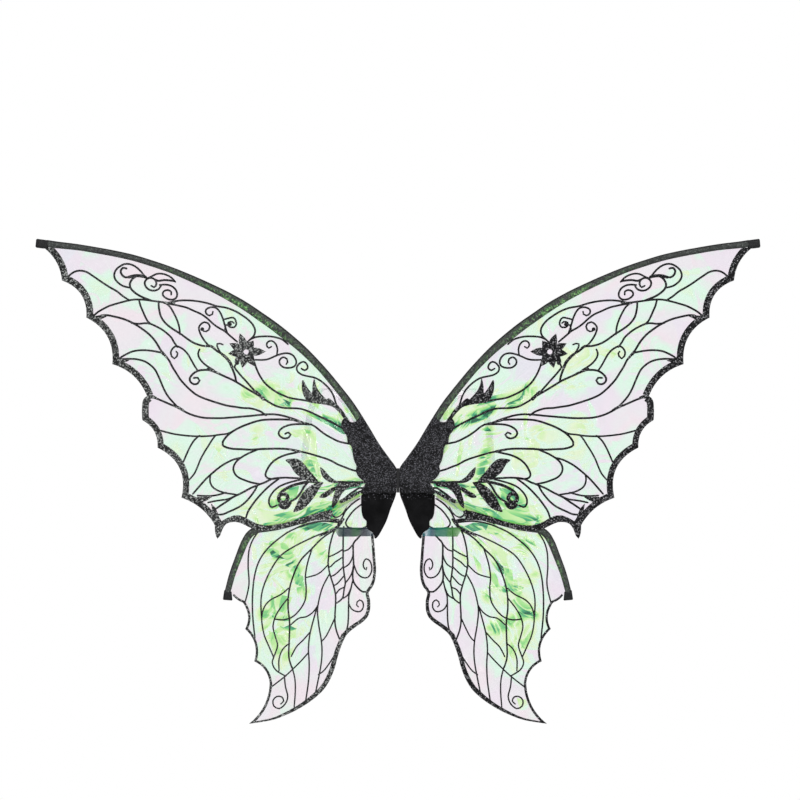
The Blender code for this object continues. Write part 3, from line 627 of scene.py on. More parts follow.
FELT = (0.0060, 0.0060, 0.0064)
GLITTER_FLECK = (0.17, 0.17, 0.19)
PALE_FILM = [(0.28, (0.60, 0.58, 0.76)), (0.42, (0.76, 0.54, 0.76)), (0.52, (0.72, 0.64, 0.74)),
             (0.62, (0.82, 0.56, 0.70)), (0.74, (0.56, 0.88, 0.68))]
# Painted reflection of the film by its level of green, mint through lime to emerald; FILM_ALPHA makes it
# more opaque where that painted reflection is stronger.
PAINTED_FILM_SHINE = [(0.0, (0.50, 1.0, 0.68)), (0.26, (0.52, 1.0, 0.68)), (0.40, (0.80, 1.0, 0.52)),
              (0.54, (0.58, 1.0, 0.26)), (0.67, (0.24, 0.84, 0.17)), (0.79, (0.045, 0.56, 0.19)),
              (0.89, (0.010, 0.33, 0.14)), (1.0, (0.003, 0.16, 0.07))]
FILM_ALPHA = [(0.0, 0.22), (0.24, 0.27), (0.40, 0.38), (0.54, 0.50), (0.67, 0.60), (0.79, 0.70),
              (0.89, 0.77), (1.0, 0.82)]


class Shader:
    """A Principled material, built node by node on the piece's own coordinates in metres."""

    def __init__(self, name, **sockets):
        self.mat = bpy.data.materials.new(name)
        self.mat.use_nodes = True
        self.tree = self.mat.node_tree
        self.main = self.tree.nodes["Principled BSDF"]
        self.set(**sockets)
        self.place = self.node("ShaderNodeTexCoord").outputs["Object"]

    def plug(self, socket, value):
        if isinstance(value, bpy.types.NodeSocket):
            self.tree.links.new(value, socket)
        elif socket.type == "RGBA":
            socket.default_value = (*value, 1.0)
        else:
            socket.default_value = value

    def set(self, **sockets):
        for key, value in sockets.items():
            self.plug(self.main.inputs[key.replace("_", " ")], value)

    def node(self, kind, inputs=(), **props):
        made = self.tree.nodes.new(kind)
        for key, value in props.items():
            setattr(made, key, value)
        for key, value in dict(inputs).items():
            self.plug(made.inputs[key], value)
        return made

    def attribute(self, name, output="Fac"):
        return self.node("ShaderNodeAttribute", attribute_name=name).outputs[output]

    def math(self, operation, a, b=0.0, clamp=False):
        return self.node("ShaderNodeMath", {0: a, 1: b}, operation=operation, use_clamp=clamp).outputs[0]

    def add(self, a, b, clamp=False):
        return self.math("ADD", a, b, clamp)

    def sub(self, a, b, clamp=False):
        return self.math("SUBTRACT", a, b, clamp)

    def mul(self, a, b):
        return self.math("MULTIPLY", a, b)

    def vector(self, operation, *values, output=0):
        return self.node("ShaderNodeVectorMath", enumerate(values), operation=operation).outputs[output]

    def split(self, colour):
        return self.node("ShaderNodeSeparateColor", {0: colour}).outputs

    def along(self, axis):
        return self.node("ShaderNodeSeparateXYZ", {0: self.place}).outputs["XYZ".index(axis)]

    def mix(self, factor, a, b, blend="MIX"):
        return self.node("ShaderNodeMix", {0: factor, 6: a, 7: b}, data_type="RGBA",
                         blend_type=blend).outputs[2]

    def ramp(self, factor, stops, ease=True):
        made = self.node("ShaderNodeValToRGB", {0: factor})
        made.color_ramp.interpolation = "EASE" if ease else "LINEAR"
        elements = made.color_ramp.elements
        while len(elements) < len(stops):
            elements.new(0.5)
        for element, (at, value) in zip(elements, stops):
            element.position = at
            element.color = (*value, 1.0) if isinstance(value, tuple) else (value, value, value, 1.0)
        return made.outputs[0]

    def noise(self, scale, detail=2.0, vector=None, distortion=0.0, rough=0.5, output=0):
        return self.node("ShaderNodeTexNoise", {"Vector": vector or self.place, "Scale": scale,
                                                "Detail": detail, "Roughness": rough,
                                                "Distortion": distortion}).outputs[output]

    def cells(self, scale, output="Distance"):
        return self.node("ShaderNodeTexVoronoi", {"Vector": self.place, "Scale": scale}).outputs[output]

    def wave(self, scale, distortion, vector=None, direction="X", **inputs):
        return self.node("ShaderNodeTexWave", {"Vector": vector or self.place, "Scale": scale,
                                               "Distortion": distortion, **inputs},
                         bands_direction=direction).outputs[0]

    def scaled(self, vector, amounts):
        return self.node("ShaderNodeMapping", {"Vector": vector, "Scale": amounts}).outputs[0]

    def bump(self, height, strength, distance):
        made = self.node("ShaderNodeBump", {"Height": height, "Strength": strength,
                                            "Distance": distance})
        self.set(Normal=made.outputs[0])
        return self.mat


def shade(colour, factor):
    return tuple(factor * c for c in colour)


def glitter_material(name, base, fleck, amount, grain=1150.0, thins=False):
    """Black glitter: dark ground with small flecks that tilt their own way, and may thin downwards."""
    s = Shader(name, Specular_IOR_Level=0.12)
    pick = s.split(s.cells(grain, "Color"))
    lit = s.ramp(pick[0], [(1 - amount - 0.02, 0.0), (1 - amount, 1.0)], False)
    strength = s.mul(lit, s.math("POWER", pick[1], 1.3))
    if thins:
        keep = s.add(s.mul(s.along("Z"), 45.0), 0.85, True)
        strength = s.mul(strength, s.math("GREATER_THAN", s.add(keep, 0.25), pick[2]))
    ground = s.mix(1.0, base, s.ramp(s.noise(70.0, 3.0), [(0.35, 0.7), (0.65, 1.4)]), "MULTIPLY")
    s.set(Base_Color=s.mix(strength, ground, fleck), Metallic=s.mul(lit, 0.5),
          Roughness=s.ramp(lit, [(0.0, 0.75), (1.0, 0.3)]))
    return s.bump(s.add(pick[2], s.cells(grain)), 0.5, 0.00025)


def film_material(name):
    """Clear film whose painted shine runs from lavender through mint and lime to emerald, fold by fold."""
    s = Shader(name, Roughness=0.12, IOR=1.5, Coat_Weight=0.5, Coat_Roughness=0.04)
    half = (0.5, 0.5, 0.5)
    fan = s.attribute("fan", "Vector")
    shift = s.vector("SUBTRACT", s.noise(1.5, 1.0, fan, output="Color"), half)
    bent = s.vector("MULTIPLY_ADD", shift, (1.1, 1.1, 1.1), fan)

    def facets(stretch, scale, slope):
        """Painted shading of tilted facets: each has its own level and a gradient across it, with sharp
        creases.
        """
        place = s.scaled(bent, stretch)
        cell = s.node("ShaderNodeTexVoronoi", {"Vector": place, "Scale": scale}).outputs
        lean = s.vector("DOT_PRODUCT", s.vector("SUBTRACT", place, cell["Position"]),
                        s.vector("SUBTRACT", cell["Color"], half), output="Value")
        return s.add(s.sub(s.split(cell["Color"])[0], 0.5), s.mul(lean, slope * scale))

    large = facets((0.62, 1.25, 1.0), 1.5, 2.6)
    small = facets((0.85, 1.15, 1.0), 4.2, 2.4)
    crease = s.add(s.mul(large, 0.62), s.mul(small, 0.34))
    # Thin streaks along long folds are painted highlights that turn green areas paler.
    long_fold = s.noise(3.2, 1.0, s.scaled(bent, (0.45, 1.5, 1.0)), 0.8)
    off_ridge = s.math("ABSOLUTE", s.mul(s.sub(long_fold, 0.5), 13.0))
    painted_highlight = s.math("POWER", s.sub(1.0, off_ridge, True), 1.5)
    # green sets how strongly the film's reflection is painted green; fold and tone paint single folds.
    zone = s.attribute("green")
    crinkled = s.add(zone, s.mul(crease, s.add(0.10, s.mul(zone, 0.62))))
    crinkled = s.sub(crinkled, s.mul(painted_highlight, s.mul(zone, 0.55)))
    placed = s.add(s.attribute("tone"), s.mul(small, 0.16))
    share = s.ramp(s.attribute("fold"), [(0.0, 0.0), (0.75, 1.0)])
    level = s.add(s.mul(crinkled, s.sub(1.0, share)), s.mul(placed, share), True)
    pale = s.ramp(s.add(s.mul(large, 0.10), s.noise(10.0, 1.0)), PALE_FILM)
    toned = s.ramp(level, PAINTED_FILM_SHINE, False)
    s.set(Base_Color=s.mix(s.ramp(level, [(0.06, 0.0), (0.24, 1.0)]), pale, toned),
          Alpha=s.ramp(level, FILM_ALPHA, False))
    return s.bump(crease, 0.35, 0.006)


def felt_material(name, flecks=0.0):
    """Black felt; flecks > 0 strews shed glitter over its top, thinning downwards."""
    s = Shader(name, Roughness=0.95, Specular_IOR_Level=0.08, Sheen_Weight=0.06, Sheen_Roughness=0.5)
    fibre = s.noise(1500.0, 5.0, s.scaled(s.place, (1.0, 1.0, 0.35)), 1.2, 0.7)
    tone = s.ramp(s.mul(fibre, s.noise(55.0, 3.0)), [(0.12, shade(FELT, 0.55)), (0.42, shade(FELT, 1.9))])
    if flecks:
        pick = s.split(s.cells(1000.0, "Color"))
        share = s.mul(s.add(s.mul(s.along("Z"), 50.0), 1.45, True), flecks)
        lit = s.math("GREATER_THAN", share, pick[0])
        tone = s.mix(s.mul(lit, pick[1]), tone, GLITTER_FLECK)
    s.set(Base_Color=tone)
    return s.bump(fibre, 0.55, 0.0003)


def sleeve_material(name):
    """Black fabric with a fine rib, dark edges and a painted green shine: the film's reflection where it
    shows through.
    """
    s = Shader(name, Specular_IOR_Level=0.25)
    across = s.attribute("across")
    fleck = s.split(s.cells(1000.0, "Color"))
    rib = s.wave(1.1, 0.6, s.attribute("run", "Vector"), Detail=1.0)
    ground = s.ramp(s.noise(240.0, 4.0), [(0.3, (0.030, 0.033, 0.031)), (0.7, (0.062, 0.068, 0.064))])
    lit = s.ramp(fleck[0], [(0.80, 0.0), (0.86, 1.0)], False)
    ground = s.mix(s.mul(lit, s.mul(fleck[1], 0.35)), ground, (0.45, 0.50, 0.46))
    # inward, patch and green paint the film's green reflection, strongest on the flat sewn side where shine
    # is set.
    inward = s.mul(s.attribute("shine"), s.ramp(across, [(0.30, 0.15), (0.62, 1.0)]))
    patch = s.mul(inward, s.ramp(s.noise(150.0, 3.0, distortion=1.5), [(0.44, 0.0), (0.60, 0.9)]))
    green = s.ramp(s.noise(420.0, 2.0), [(0.35, (0.03, 0.17, 0.04)), (0.65, (0.36, 0.72, 0.26))])
    edge = s.ramp(across, [(0.0, 0.92), (0.12, 0.88), (0.24, 0.0), (0.88, 0.0), (0.97, 0.7)])
    s.set(Base_Color=s.mix(edge, s.mix(patch, ground, green), (0.008, 0.008, 0.009)),
          Roughness=s.ramp(s.noise(90.0, 2.0), [(0.3, 0.32), (0.7, 0.55)]))
    return s.bump(s.add(rib, s.mul(fleck[2], 0.6)), 0.35, 0.0003)


def fold_material(name, bands):
    """Folded film, dark and clear at once, in soft bands of painted reflection colour outwards from 34 to 84
    mm.
    """
    s = Shader(name, Roughness=0.2, Coat_Weight=0.3)
    wave = s.noise(60.0, 1.0, s.scaled(s.place, (1.0, 1.0, 0.3)))
    outwards = s.sub(s.mul(s.math("ABSOLUTE", s.along("X")), 20.0), 0.68)
    outwards = s.add(outwards, s.mul(s.sub(wave, 0.5), 0.22))
    s.set(Base_Color=s.ramp(outwards, bands),
          Alpha=s.ramp(outwards, [(0.02, 0.30), (0.14, 0.68), (0.80, 0.70), (0.98, 0.25)]))
    return s.bump(wave, 0.4, 0.002)


def plastic_material(name, base, rough):
    s = Shader(name)
    grain = s.noise(900.0, 3.0)
    s.set(Base_Color=s.ramp(s.noise(30.0), [(0.3, shade(base, 0.8)), (0.7, shade(base, 1.25))]),
          Roughness=s.ramp(grain, [(0.3, rough - 0.08), (0.7, rough + 0.1)]))
    return s.bump(grain, 0.2, 0.0001)


def tape_material(name):
    s = Shader(name, Roughness=0.8, Sheen_Weight=0.2)
    weave = s.mul(s.wave(420.0, 0.4, direction="Z"), s.wave(420.0, 0.4))
    s.set(Base_Color=s.ramp(weave, [(0.0, (0.010, 0.010, 0.011)), (0.8, (0.045, 0.045, 0.048))]))
    return s.bump(weave, 0.5, 0.0004)


def elastic_material(name):
    s = Shader(name, Roughness=0.12, IOR=1.45, Transmission_Weight=0.35)
    haze = s.noise(130.0, 3.0)
    s.set(Base_Color=s.ramp(haze, [(0.3, (0.84, 0.88, 0.88)), (0.7, (0.97, 0.98, 0.98))]),
          Alpha=s.ramp(haze, [(0.3, 0.34), (0.7, 0.42)]))
    return s.bump(s.noise(420.0), 0.15, 0.0002)


def thread_material(name, base):
    s = Shader(name, Roughness=0.6)
    twist = s.noise(1800.0)
    s.set(Base_Color=s.ramp(twist, [(0.3, shade(base, 0.6)), (0.7, base)]))
    return s.bump(twist, 0.4, 0.0001)


# One print in two copies: the left has painted light, a lighter ground and more glinting flecks, and the
# right has painted shade.
glitter_print = {
    LEFT: glitter_material("glitter_print_left_lit", (0.024, 0.025, 0.025), (0.52, 0.54, 0.52), 0.38, 780.0),
    RIGHT: glitter_material("glitter_print_right_shaded", (0.010, 0.010, 0.011), (0.38, 0.38, 0.39), 0.26, 780.0)}
glitter_cloth = glitter_material("glitter_cloth", (0.012, 0.012, 0.013), GLITTER_FLECK, 0.34, 1000.0, True)
line_print = {
    LEFT: glitter_material("line_print_left_lit", (0.020, 0.020, 0.021), (0.22, 0.22, 0.23), 0.20),
    RIGHT: glitter_material("line_print_right_shaded", (0.010, 0.010, 0.011), (0.16, 0.16, 0.17), 0.16)}
felt_black = felt_material("felt_black")
felt_flecked = felt_material("felt_flecked", 0.22)
sleeve_black = sleeve_material("sleeve_black")
# The two sides paint the band's reflection in different colours, the left darker than the right.
fold_teal = {
    -1: fold_material("fold_teal_left", [(0.06, (0.10, 0.14, 0.17)), (0.22, (0.010, 0.020, 0.040)),
                                         (0.38, (0.003, 0.12, 0.028)), (0.48, (0.004, 0.10, 0.03)),
                                         (0.60, (0.020, 0.040, 0.065)), (0.90, (0.03, 0.08, 0.07))]),
    1: fold_material("fold_teal_right", [(0.06, (0.07, 0.30, 0.34)), (0.20, (0.004, 0.085, 0.13)),
                                         (0.38, (0.003, 0.21, 0.13)), (0.58, (0.006, 0.23, 0.12)),
                                         (0.72, (0.05, 0.27, 0.05)), (0.92, (0.10, 0.34, 0.07))])}
rod_black = plastic_material("rod_black", (0.03, 0.03, 0.03), 0.45)
pad_black = plastic_material("pad_black", (0.03, 0.03, 0.032), 0.5)
tape_black = tape_material("tape_black")
elastic_clear = elastic_material("elastic_clear")
thread_black = thread_material("thread_black", (0.03, 0.03, 0.032))


# ---------------------------------------------------------------- wing panels

# Streaks of light painted into the film's colour along its folds: (end, end, half width, strength).
UPPER_LIME = [((122, 62), (109, -2), 14, 1.0), ((122, 60), (152, 63), 10, 0.7),
              ((112, 20), (96, 44), 10, 0.6), ((150, 104), (174, 118), 20, 0.9),
              ((172, 118), (205, 112), 15, 0.6), ((84, -40), (182, -54), 18, 1.0),
              ((90, -16), (142, -32), 14, 0.9), ((54, -20), (90, -44), 12, 0.7),
              ((116, 98), (106, 122), 10, 0.7), ((96, 88), (132, 124), 10, 0.6),
              ((186, 62), (176, 8), 21, 0.6), ((152, 63), (166, 20), 14, 0.6),
              ((60, 88), (84, 84), 10, 0.7), ((70, 10), (64, 60), 9, 0.4),
              ((150, -20), (178, -50), 18, 0.8), ((206, 120), (250, 128), 10, 0.45),
              ((206, 34), (150, 28), 15, 0.4)]
UPPER_DEEP = [((74, 70), (126, 92), 9, 1.0), ((120, 91), (160, 105), 6.5, 0.85),
              ((50, -3), (100, -15), 11, 0.95), ((95, -15), (148, -25), 8, 0.8),
              ((59, 92), (72, 108), 7, 0.6), ((67, 58), (60, 38), 6, 0.7),
              ((104, -48), (142, -58), 6, 0.7), ((72, -24), (110, -36), 5, 0.5)]
UPPER_MINT = [((225, 118), (322, 200), 26, 0.6), ((160, 30), (222, 58), 20, 0.45),
              ((206, 150), (258, 170), 24, 0.9), ((398, 248), (376, 262), 24, 0.7),
              ((308, 130), (348, 168), 26, 0.6), ((240, 66), (228, 10), 36, 0.8),
              ((290, 40), (250, -14), 29, 0.6), ((170, 196), (222, 220), 22, 0.8),
              ((120, 130), (186, 108), 43, 0.8), ((296, 205), (334, 182), 24, 0.6),
              ((325, 232), (405, 236), 22, 0.45), ((70, 20), (150, 40), 48, 0.8),
              ((60, -30), (190, -40), 41, 0.95), ((200, 60), (180, -30), 41, 0.7),
              ((100, 120), (140, 160), 24, 0.5), ((400, 300), (440, 306), 12, 0.3)]
LOWER_LIME = [((174, -82), (138, -122), 22, 1.0), ((162, -98), (180, -128), 15, 0.8),
              ((180, -128), (122, -152), 17, 1.0), ((150, -150), (176, -178), 15, 0.8),
              ((176, -178), (128, -198), 17, 0.95), ((172, -200), (150, -232), 19, 0.85),
              ((110, -78), (96, -102), 17, 0.8), ((190, -70), (140, -74), 15, 0.7),
              ((126, -118), (136, -162), 15, 0.7), ((120, -80), (150, -96), 15, 0.6),
              ((148, -225), (158, -250), 15, 0.6)]
LOWER_DEEP = [((126, -62), (82, -66), 8, 1.0), ((62, -58), (90, -56), 6, 0.6),
              ((40, -60), (80, -61), 6, 0.5)]
LOWER_MINT = [((150, -92), (158, -225), 53, 0.95), ((78, -82), (92, -180), 31, 0.5),
              ((188, -225), (176, -258), 17, 0.7), ((60, -50), (190, -70), 22, 0.7),
              ((45, -95), (52, -120), 17, 0.3)]
STREAK_TOPS = (0.69, 0.90, 0.37)  # how far lime, deep and mint streaks lift the level of green

FOLD_TINTS = (0.0, 0.33, 0.66, 0.84, 1.0)
FOLD_TONES = (0.92, 0.76, 0.54, 0.40, 0.26)

# Single folds that stand out as painted reflections: (tint, strength, outline, bright end, faded end).
# Tint 0 is emerald, 0.33 green, 0.66 lime and 1 pale.
LEFT_UPPER_FOLDS = [
    (0.66, 1.0, [(128, 68), (109, 66), (105.5, -0.5), (113, 22)], (107, 30), (131, 46)),
    (0.78, 1.0, [(154, 64), (124, 67), (112, 36), (132, 55)], (118, 58), (158, 58)),
    (0.95, 0.8, [(46, -0.5), (58, 4), (76, 17.5), (64, 12), (54, 8)], (50, 2), (76, 18)),
    (0.70, 1.0, [(100, -14), (84, -5.5), (86, -11), (98, -21)], (88, -8), (100, -20)),
    (1.00, 0.9, [(50, -13), (62, -17), (74, -25), (64, -16)], (60, -15), (74, -26)),
    (0.85, 0.9, [(86, -26), (104, -21), (112, -30), (96, -29)], (100, -24), (94, -32)),
    (0.90, 0.9, [(135, -22), (129, -34), (138, -43), (144, -34)], (136, -28), (140, -44)),
    (0.80, 1.0, [(190, -38), (162, -42), (148, -50), (184, -59)], (180, -50), (150, -44)),
    (0.36, 1.0, [(152, -12), (131, -8), (135, -23), (147, -21)], (134, -12), (152, -20)),
    (0.30, 0.8, [(132, -41), (152, -43), (166, -47), (148, -51), (134, -48)], (150, -46), (130, -40)),
    (0.62, 0.9, [(100, 118), (108, 120), (114, 100), (106, 94)], (106, 100), (104, 120)),
    (0.75, 0.9, [(164, 96), (150, 104), (170, 124), (184, 122)], (160, 104), (184, 126)),
    (0.40, 0.8, [(176, 116), (158, 100), (150, 98), (160, 112)], (156, 102), (176, 118)),
    (0.05, 1.0, [(66, 60), (71, 69), (85, 77), (100, 84), (116, 91), (130, 96), (128, 91),
                 (114, 84), (100, 76.5), (86, 69), (74, 61)], (74, 66), (132, 98)),
    (0.12, 0.9, [(138, 97), (150, 100), (160, 107), (152, 107.5), (142, 103)], (150, 102), (138, 96)),
    (0.10, 1.0, [(47, -2), (60, -4), (82, -3), (102, -9), (96, -20), (84, -15), (66, -13), (49, -9)],
     (60, -6), (100, -18)),
    (0.55, 0.8, [(64, 90), (70, 98), (78, 108), (74, 98), (69, 88)], (68, 92), (76, 108)),
    (1.00, 0.8, [(62, 82), (68, 92), (73, 96), (70, 86)], (66, 86), (74, 98)),
    (0.15, 0.8, [(56, 20), (60, 34), (64, 44), (70, 58), (67, 58), (61, 46), (57, 34)], (58, 30), (70, 58)),
    (0.85, 0.6, [(190, 66), (176, 60), (168, 22), (180, 12)], (172, 44), (194, 40)),
    (0.95, 0.7, [(214, 148), (250, 152), (262, 170), (236, 164)], (240, 158), (214, 146)),
    (0.90, 0.5, [(330, 186), (306, 160), (300, 130), (318, 146)], (308, 150), (334, 190)),
    (0.95, 0.5, [(436, 300), (380, 262), (400, 250), (420, 268)], (400, 262), (440, 302)),
    (0.90, 0.5, [(246, 66), (226, 58), (230, 10), (244, 24)], (232, 40), (250, 60)),
]
RIGHT_UPPER_FOLDS = [
    (0.82, 1.0, [(166, 112), (174, 112), (171, 62), (188, 14), (180, 18), (167, 60)], (168, 60), (186, 62)),
    (0.90, 1.0, [(172, 114), (206, 118), (250, 140), (242, 144), (204, 127), (174, 120)],
     (210, 128), (206, 112)),
    (0.70, 0.9, [(84, 60), (92, 62), (84, 30), (80, 4), (76, 6), (79, 30)], (80, 40), (94, 50)),
    (0.85, 0.8, [(94, 66), (100, 62), (97, 40), (101, 16), (93, 40)], (96, 50), (102, 30)),
    (0.75, 1.0, [(64, 84), (86, 98), (112, 106), (118, 98), (92, 90), (74, 78)], (80, 92), (118, 98)),
    (0.10, 0.9, [(104, 98), (122, 102), (150, 112), (146, 116), (118, 110)], (120, 104), (150, 116)),
    (0.62, 0.9, [(60, 78), (70, 84), (78, 98), (70, 96), (60, 88)], (66, 86), (78, 100)),
    (0.08, 1.0, [(46, -2), (60, -6), (84, -6), (100, -14), (104, -24), (88, -18), (64, -12), (48, -9)],
     (60, -6), (104, -22)),
    (0.66, 1.0, [(96, -8), (88, -12), (104, -38), (118, -48), (106, -24)], (96, -18), (118, -46)),
    (0.25, 1.0, [(134, -10), (152, -14), (160, -30), (146, -26), (138, -20)], (146, -16), (140, -30)),
    (0.45, 0.9, [(128, -40), (160, -36), (180, -44), (176, -56), (140, -52)], (150, -44), (184, -56)),
    (0.80, 0.9, [(170, -24), (180, -30), (186, -52), (176, -46)], (176, -30), (186, -56)),
    (1.00, 0.8, [(48, -13), (60, -17), (72, -25), (62, -15)], (58, -15), (72, -26)),
    (0.90, 0.7, [(206, 178), (224, 176), (250, 150), (236, 152), (214, 166)], (222, 168), (252, 150)),
    (0.95, 0.6, [(200, 206), (226, 232), (216, 216), (206, 196)], (210, 208), (228, 234)),
    (0.80, 0.5, [(300, 206), (346, 216), (340, 200), (310, 194)], (320, 204), (350, 214)),
    (0.92, 0.5, [(284, 262), (318, 272), (300, 276), (278, 268)], (296, 270), (320, 262)),
    (0.95, 0.5, [(372, 276), (440, 288), (446, 276), (390, 268)], (400, 276), (446, 290)),
    (0.80, 0.6, [(158, 60), (150, 20), (160, 4), (166, 30)], (154, 30), (170, 34)),
    (0.90, 0.5, [(250, 112), (262, 92), (268, 60), (256, 84)], (256, 90), (272, 70)),
]
LEFT_LOWER_FOLDS = [
    (0.12, 1.0, [(86, -60), (96, -57), (110, -56), (125, -58.5), (118, -64.5), (106, -69), (95, -66.5)],
     (108, -62), (128, -58)),
    (0.80, 1.0, [(184, -98), (160, -110), (140, -118), (166, -124)], (150, -116), (186, -100)),
    (0.62, 0.9, [(178, -84), (150, -84), (128, -112), (152, -104)], (150, -90), (132, -116)),
    (0.85, 1.0, [(176, -122), (150, -132), (128, -142), (150, -146)], (150, -138), (178, -124)),
    (0.50, 0.9, [(168, -150), (140, -156), (150, -178), (172, -172)], (150, -160), (172, -178)),
    (0.90, 1.0, [(186, -182), (150, -188), (124, -184), (152, -196)], (150, -190), (186, -184)),
    (0.60, 0.9, [(172, -200), (160, -206), (156, -236), (166, -232)], (162, -210), (158, -240)),
    (0.70, 0.8, [(114, -80), (98, -86), (92, -106), (106, -98)], (102, -90), (116, -82)),
    (0.95, 0.7, [(196, -80), (188, -92), (186, -130), (192, -112)], (190, -96), (186, -134)),
    (0.40, 0.8, [(140, -122), (126, -128), (122, -160), (134, -150)], (130, -134), (124, -162)),
    (0.85, 0.8, [(128, -196), (150, -204), (146, -222), (132, -214)], (140, -204), (136, -224)),
]
RIGHT_LOWER_FOLDS = [
    (0.10, 1.0, [(88, -62), (100, -57), (116, -57), (128, -60), (114, -66), (100, -69)], (108, -62),
     (130, -60)),
    (0.75, 1.0, [(100, -60), (112, -62), (150, -104), (164, -130), (150, -122), (124, -92)], (130, -92),
     (160, -132)),
    (0.60, 0.9, [(120, -60), (150, -66), (132, -74), (116, -70)], (130, -66), (152, -70)),
    (0.85, 1.0, [(150, -92), (166, -100), (172, -140), (160, -150), (158, -120)], (160, -108), (172, -150)),
    (0.80, 1.0, [(120, -140), (140, -150), (166, -148), (152, -160), (132, -160)], (138, -152), (168, -150)),
    (0.50, 0.9, [(140, -116), (152, -120), (154, -146), (144, -140)], (146, -122), (150, -150)),
    (0.95, 0.8, [(176, -68), (192, -86), (196, -110), (186, -92)], (186, -84), (196, -112)),
    (0.66, 0.8, [(158, -290), (170, -292), (176, -306), (162, -306)], (166, -296), (176, -308)),
    (0.45, 0.7, [(100, -100), (110, -112), (116, -140), (106, -126)], (106, -112), (118, -142)),
]


def layered(outline, prints, holes, folds):
    """Flat triangles inside the outline, cut along the printed shapes and the folds.

    Returns the points, the triangles and, for each triangle, whether it is printed."""
    points, faces = [], []
    for shape in (outline, *prints, *holes, *folds):
        faces.append(list(range(len(points), len(points) + len(shape))))
        points += [Vector((p[0], p[1])) for p in shape]
    points += spots_inside(outline, GRID, 0.4 * GRID)
    verts, _edges, tris = delaunay_2d_cdt(points, [], faces, 0, 1e-4)[:3]
    flat = as_array(verts)
    middles = np.array([flat[list(t)].mean(axis=0) for t in tris])
    wanted = covered(middles, [outline])
    ink = covered(middles, prints) & ~covered(middles, holes)
    return flat, [t for t, w in zip(tris, wanted) if w], ink[wanted]


def fold_corners(flat, tris, folds):
    """Strength and tint of the painted folds at each corner of each triangle, and their relief at the
    points.
    """
    index = np.array([list(t) for t in tris])
    corners = flat[index]
    strength, tint, relief = np.zeros(index.shape), np.zeros(index.shape), np.zeros(len(flat))
    for tone, power, outline, bright, faded in folds:
        hit = np.flatnonzero(covered(corners.mean(axis=1), [outline]))
        start = np.array(bright)
        run = np.array(faded) - start
        value = power * (1 - np.clip(((corners[hit] - start) @ run) / float(run @ run), 0, 1))
        better = value > strength[hit]
        strength[hit] = np.where(better, value, strength[hit])
        tint[hit] = np.where(better, tone, tint[hit])
        ids = index[hit].reshape(-1)
        relief[ids] = np.maximum(relief[ids], 0.7 * value.reshape(-1))
    return strength, tint, relief


def streaked(flat, streaks):
    """Strength of the listed streaks of light at each point."""
    out = np.zeros(len(flat))
    for a, b, width, strength in streaks:
        out = np.maximum(out, strength * np.clip(1.25 - distance(flat, [a, b]) / width, 0, 1))
    return out


def ridge(p, size, seed):
    """Crumple height: zero on the creases between random cells, up to about 1 inside them."""
    d = noise.voronoi(Vector((p[0] / size, p[1] / size, seed)), distance_metric="DISTANCE")[0]
    return min(1.0, d[1] - d[0])


def crumple(flat, root, seed, seams, calm, relief):
    """Out-of-plane height of a crinkled film, in mm, calm near what it is sewn to."""
    near = np.minimum.reduce([distance(flat, path) for path in seams])
    height = np.zeros(len(flat))
    for i, (u, z) in enumerate(flat):
        du, dz = u - root[0], z - root[1]
        warp = noise.noise(Vector((u / 60, z / 60, seed))) * 0.5
        fan = (math.hypot(du, dz) / 2.4, (math.atan2(dz, du) + 0.25 * warp) * 95.0)
        big = ridge(fan, 24.0, seed + 3.1)
        small = ridge((u + 8 * warp, z), 15.0, seed + 7.7)
        slow = noise.noise(Vector((u / 90, z / 90, seed + 20)))
        crinkle = 1.5 * (big - 0.35) + 0.55 * (small - 0.35) + 0.8 * slow
        height[i] = smooth(0, 16, near[i]) * calm(u, z) * (crinkle - relief[i])
    return height


def panel(side, part, root, y_base, outline, prints, heavy, holes, seams, hidden, seed, streaks, calm,
          folds):
    """The film of one wing and the print on it."""
    name, body = part + "_film_panel", part + "_wing"
    folds = [f for f in folds if covered(np.array([f[3]], float), [outline])[0]]
    flat, tris, printed = layered(outline, prints + heavy, holes, [f[2] for f in folds])
    strength, tint, relief = fold_corners(flat, tris, folds)
    height = crumple(flat, root, seed, seams, calm, relief)
    height[covered(flat, [hidden])] = 0.0
    middle = y_base + height
    away = flat - np.array(root)
    fan = np.column_stack([np.hypot(away[:, 0], away[:, 1]) / 90.0,
                           np.arctan2(away[:, 1], away[:, 0]) * 2.6, np.full(len(flat), seed * 1.7)])
    # green, fold and tone tell the film's material where and how strongly its reflection is painted.
    green = np.maximum.reduce([top * streaked(flat, marks) for top, marks in zip(STREAK_TOPS, streaks)])

    bm, used = layer(side, flat, tris, middle - FILM_HALF, middle + FILM_HALF)
    film = make_object(bm, name, film_material("film_" + name), body)
    tag(film.data, "green", np.tile(green[used], 2))
    tag(film.data, "fan", np.tile(fan[used], (2, 1)))
    tag_corners(film.data, "fold", used, tris, strength)
    tag_corners(film.data, "tone", used, tris, np.interp(tint, FOLD_TINTS, FOLD_TONES))
    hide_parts(part + "_film")
    size, area = flat_size(flat, outline)

    inked = [t for t, p in zip(tris, printed) if p]
    bm, used = layer(side, flat, inked, middle - PRINT_HALF, middle + PRINT_HALF)
    ink = make_object(bm, name + "_print", line_print[side], body)
    ink.data.materials.append(glitter_print[side])
    strong = covered(np.array([flat[list(t)].mean(axis=0) for t in inked]), heavy, even_odd=True)
    for face in ink.data.polygons[:2 * len(inked)]:
        face.material_index = int(strong[face.index // 2])


def upper_calm(u, z):
    overlap = 1 - 0.45 * smooth(-20, -60, z) * smooth(230, 180, u)
    return (0.55 + 0.45 * smooth(330, 120, u)) * overlap


def lower_calm(u, z):
    return (0.5 + 0.5 * smooth(-300, -200, z)) * (0.5 + 0.5 * smooth(-55, -85, z))


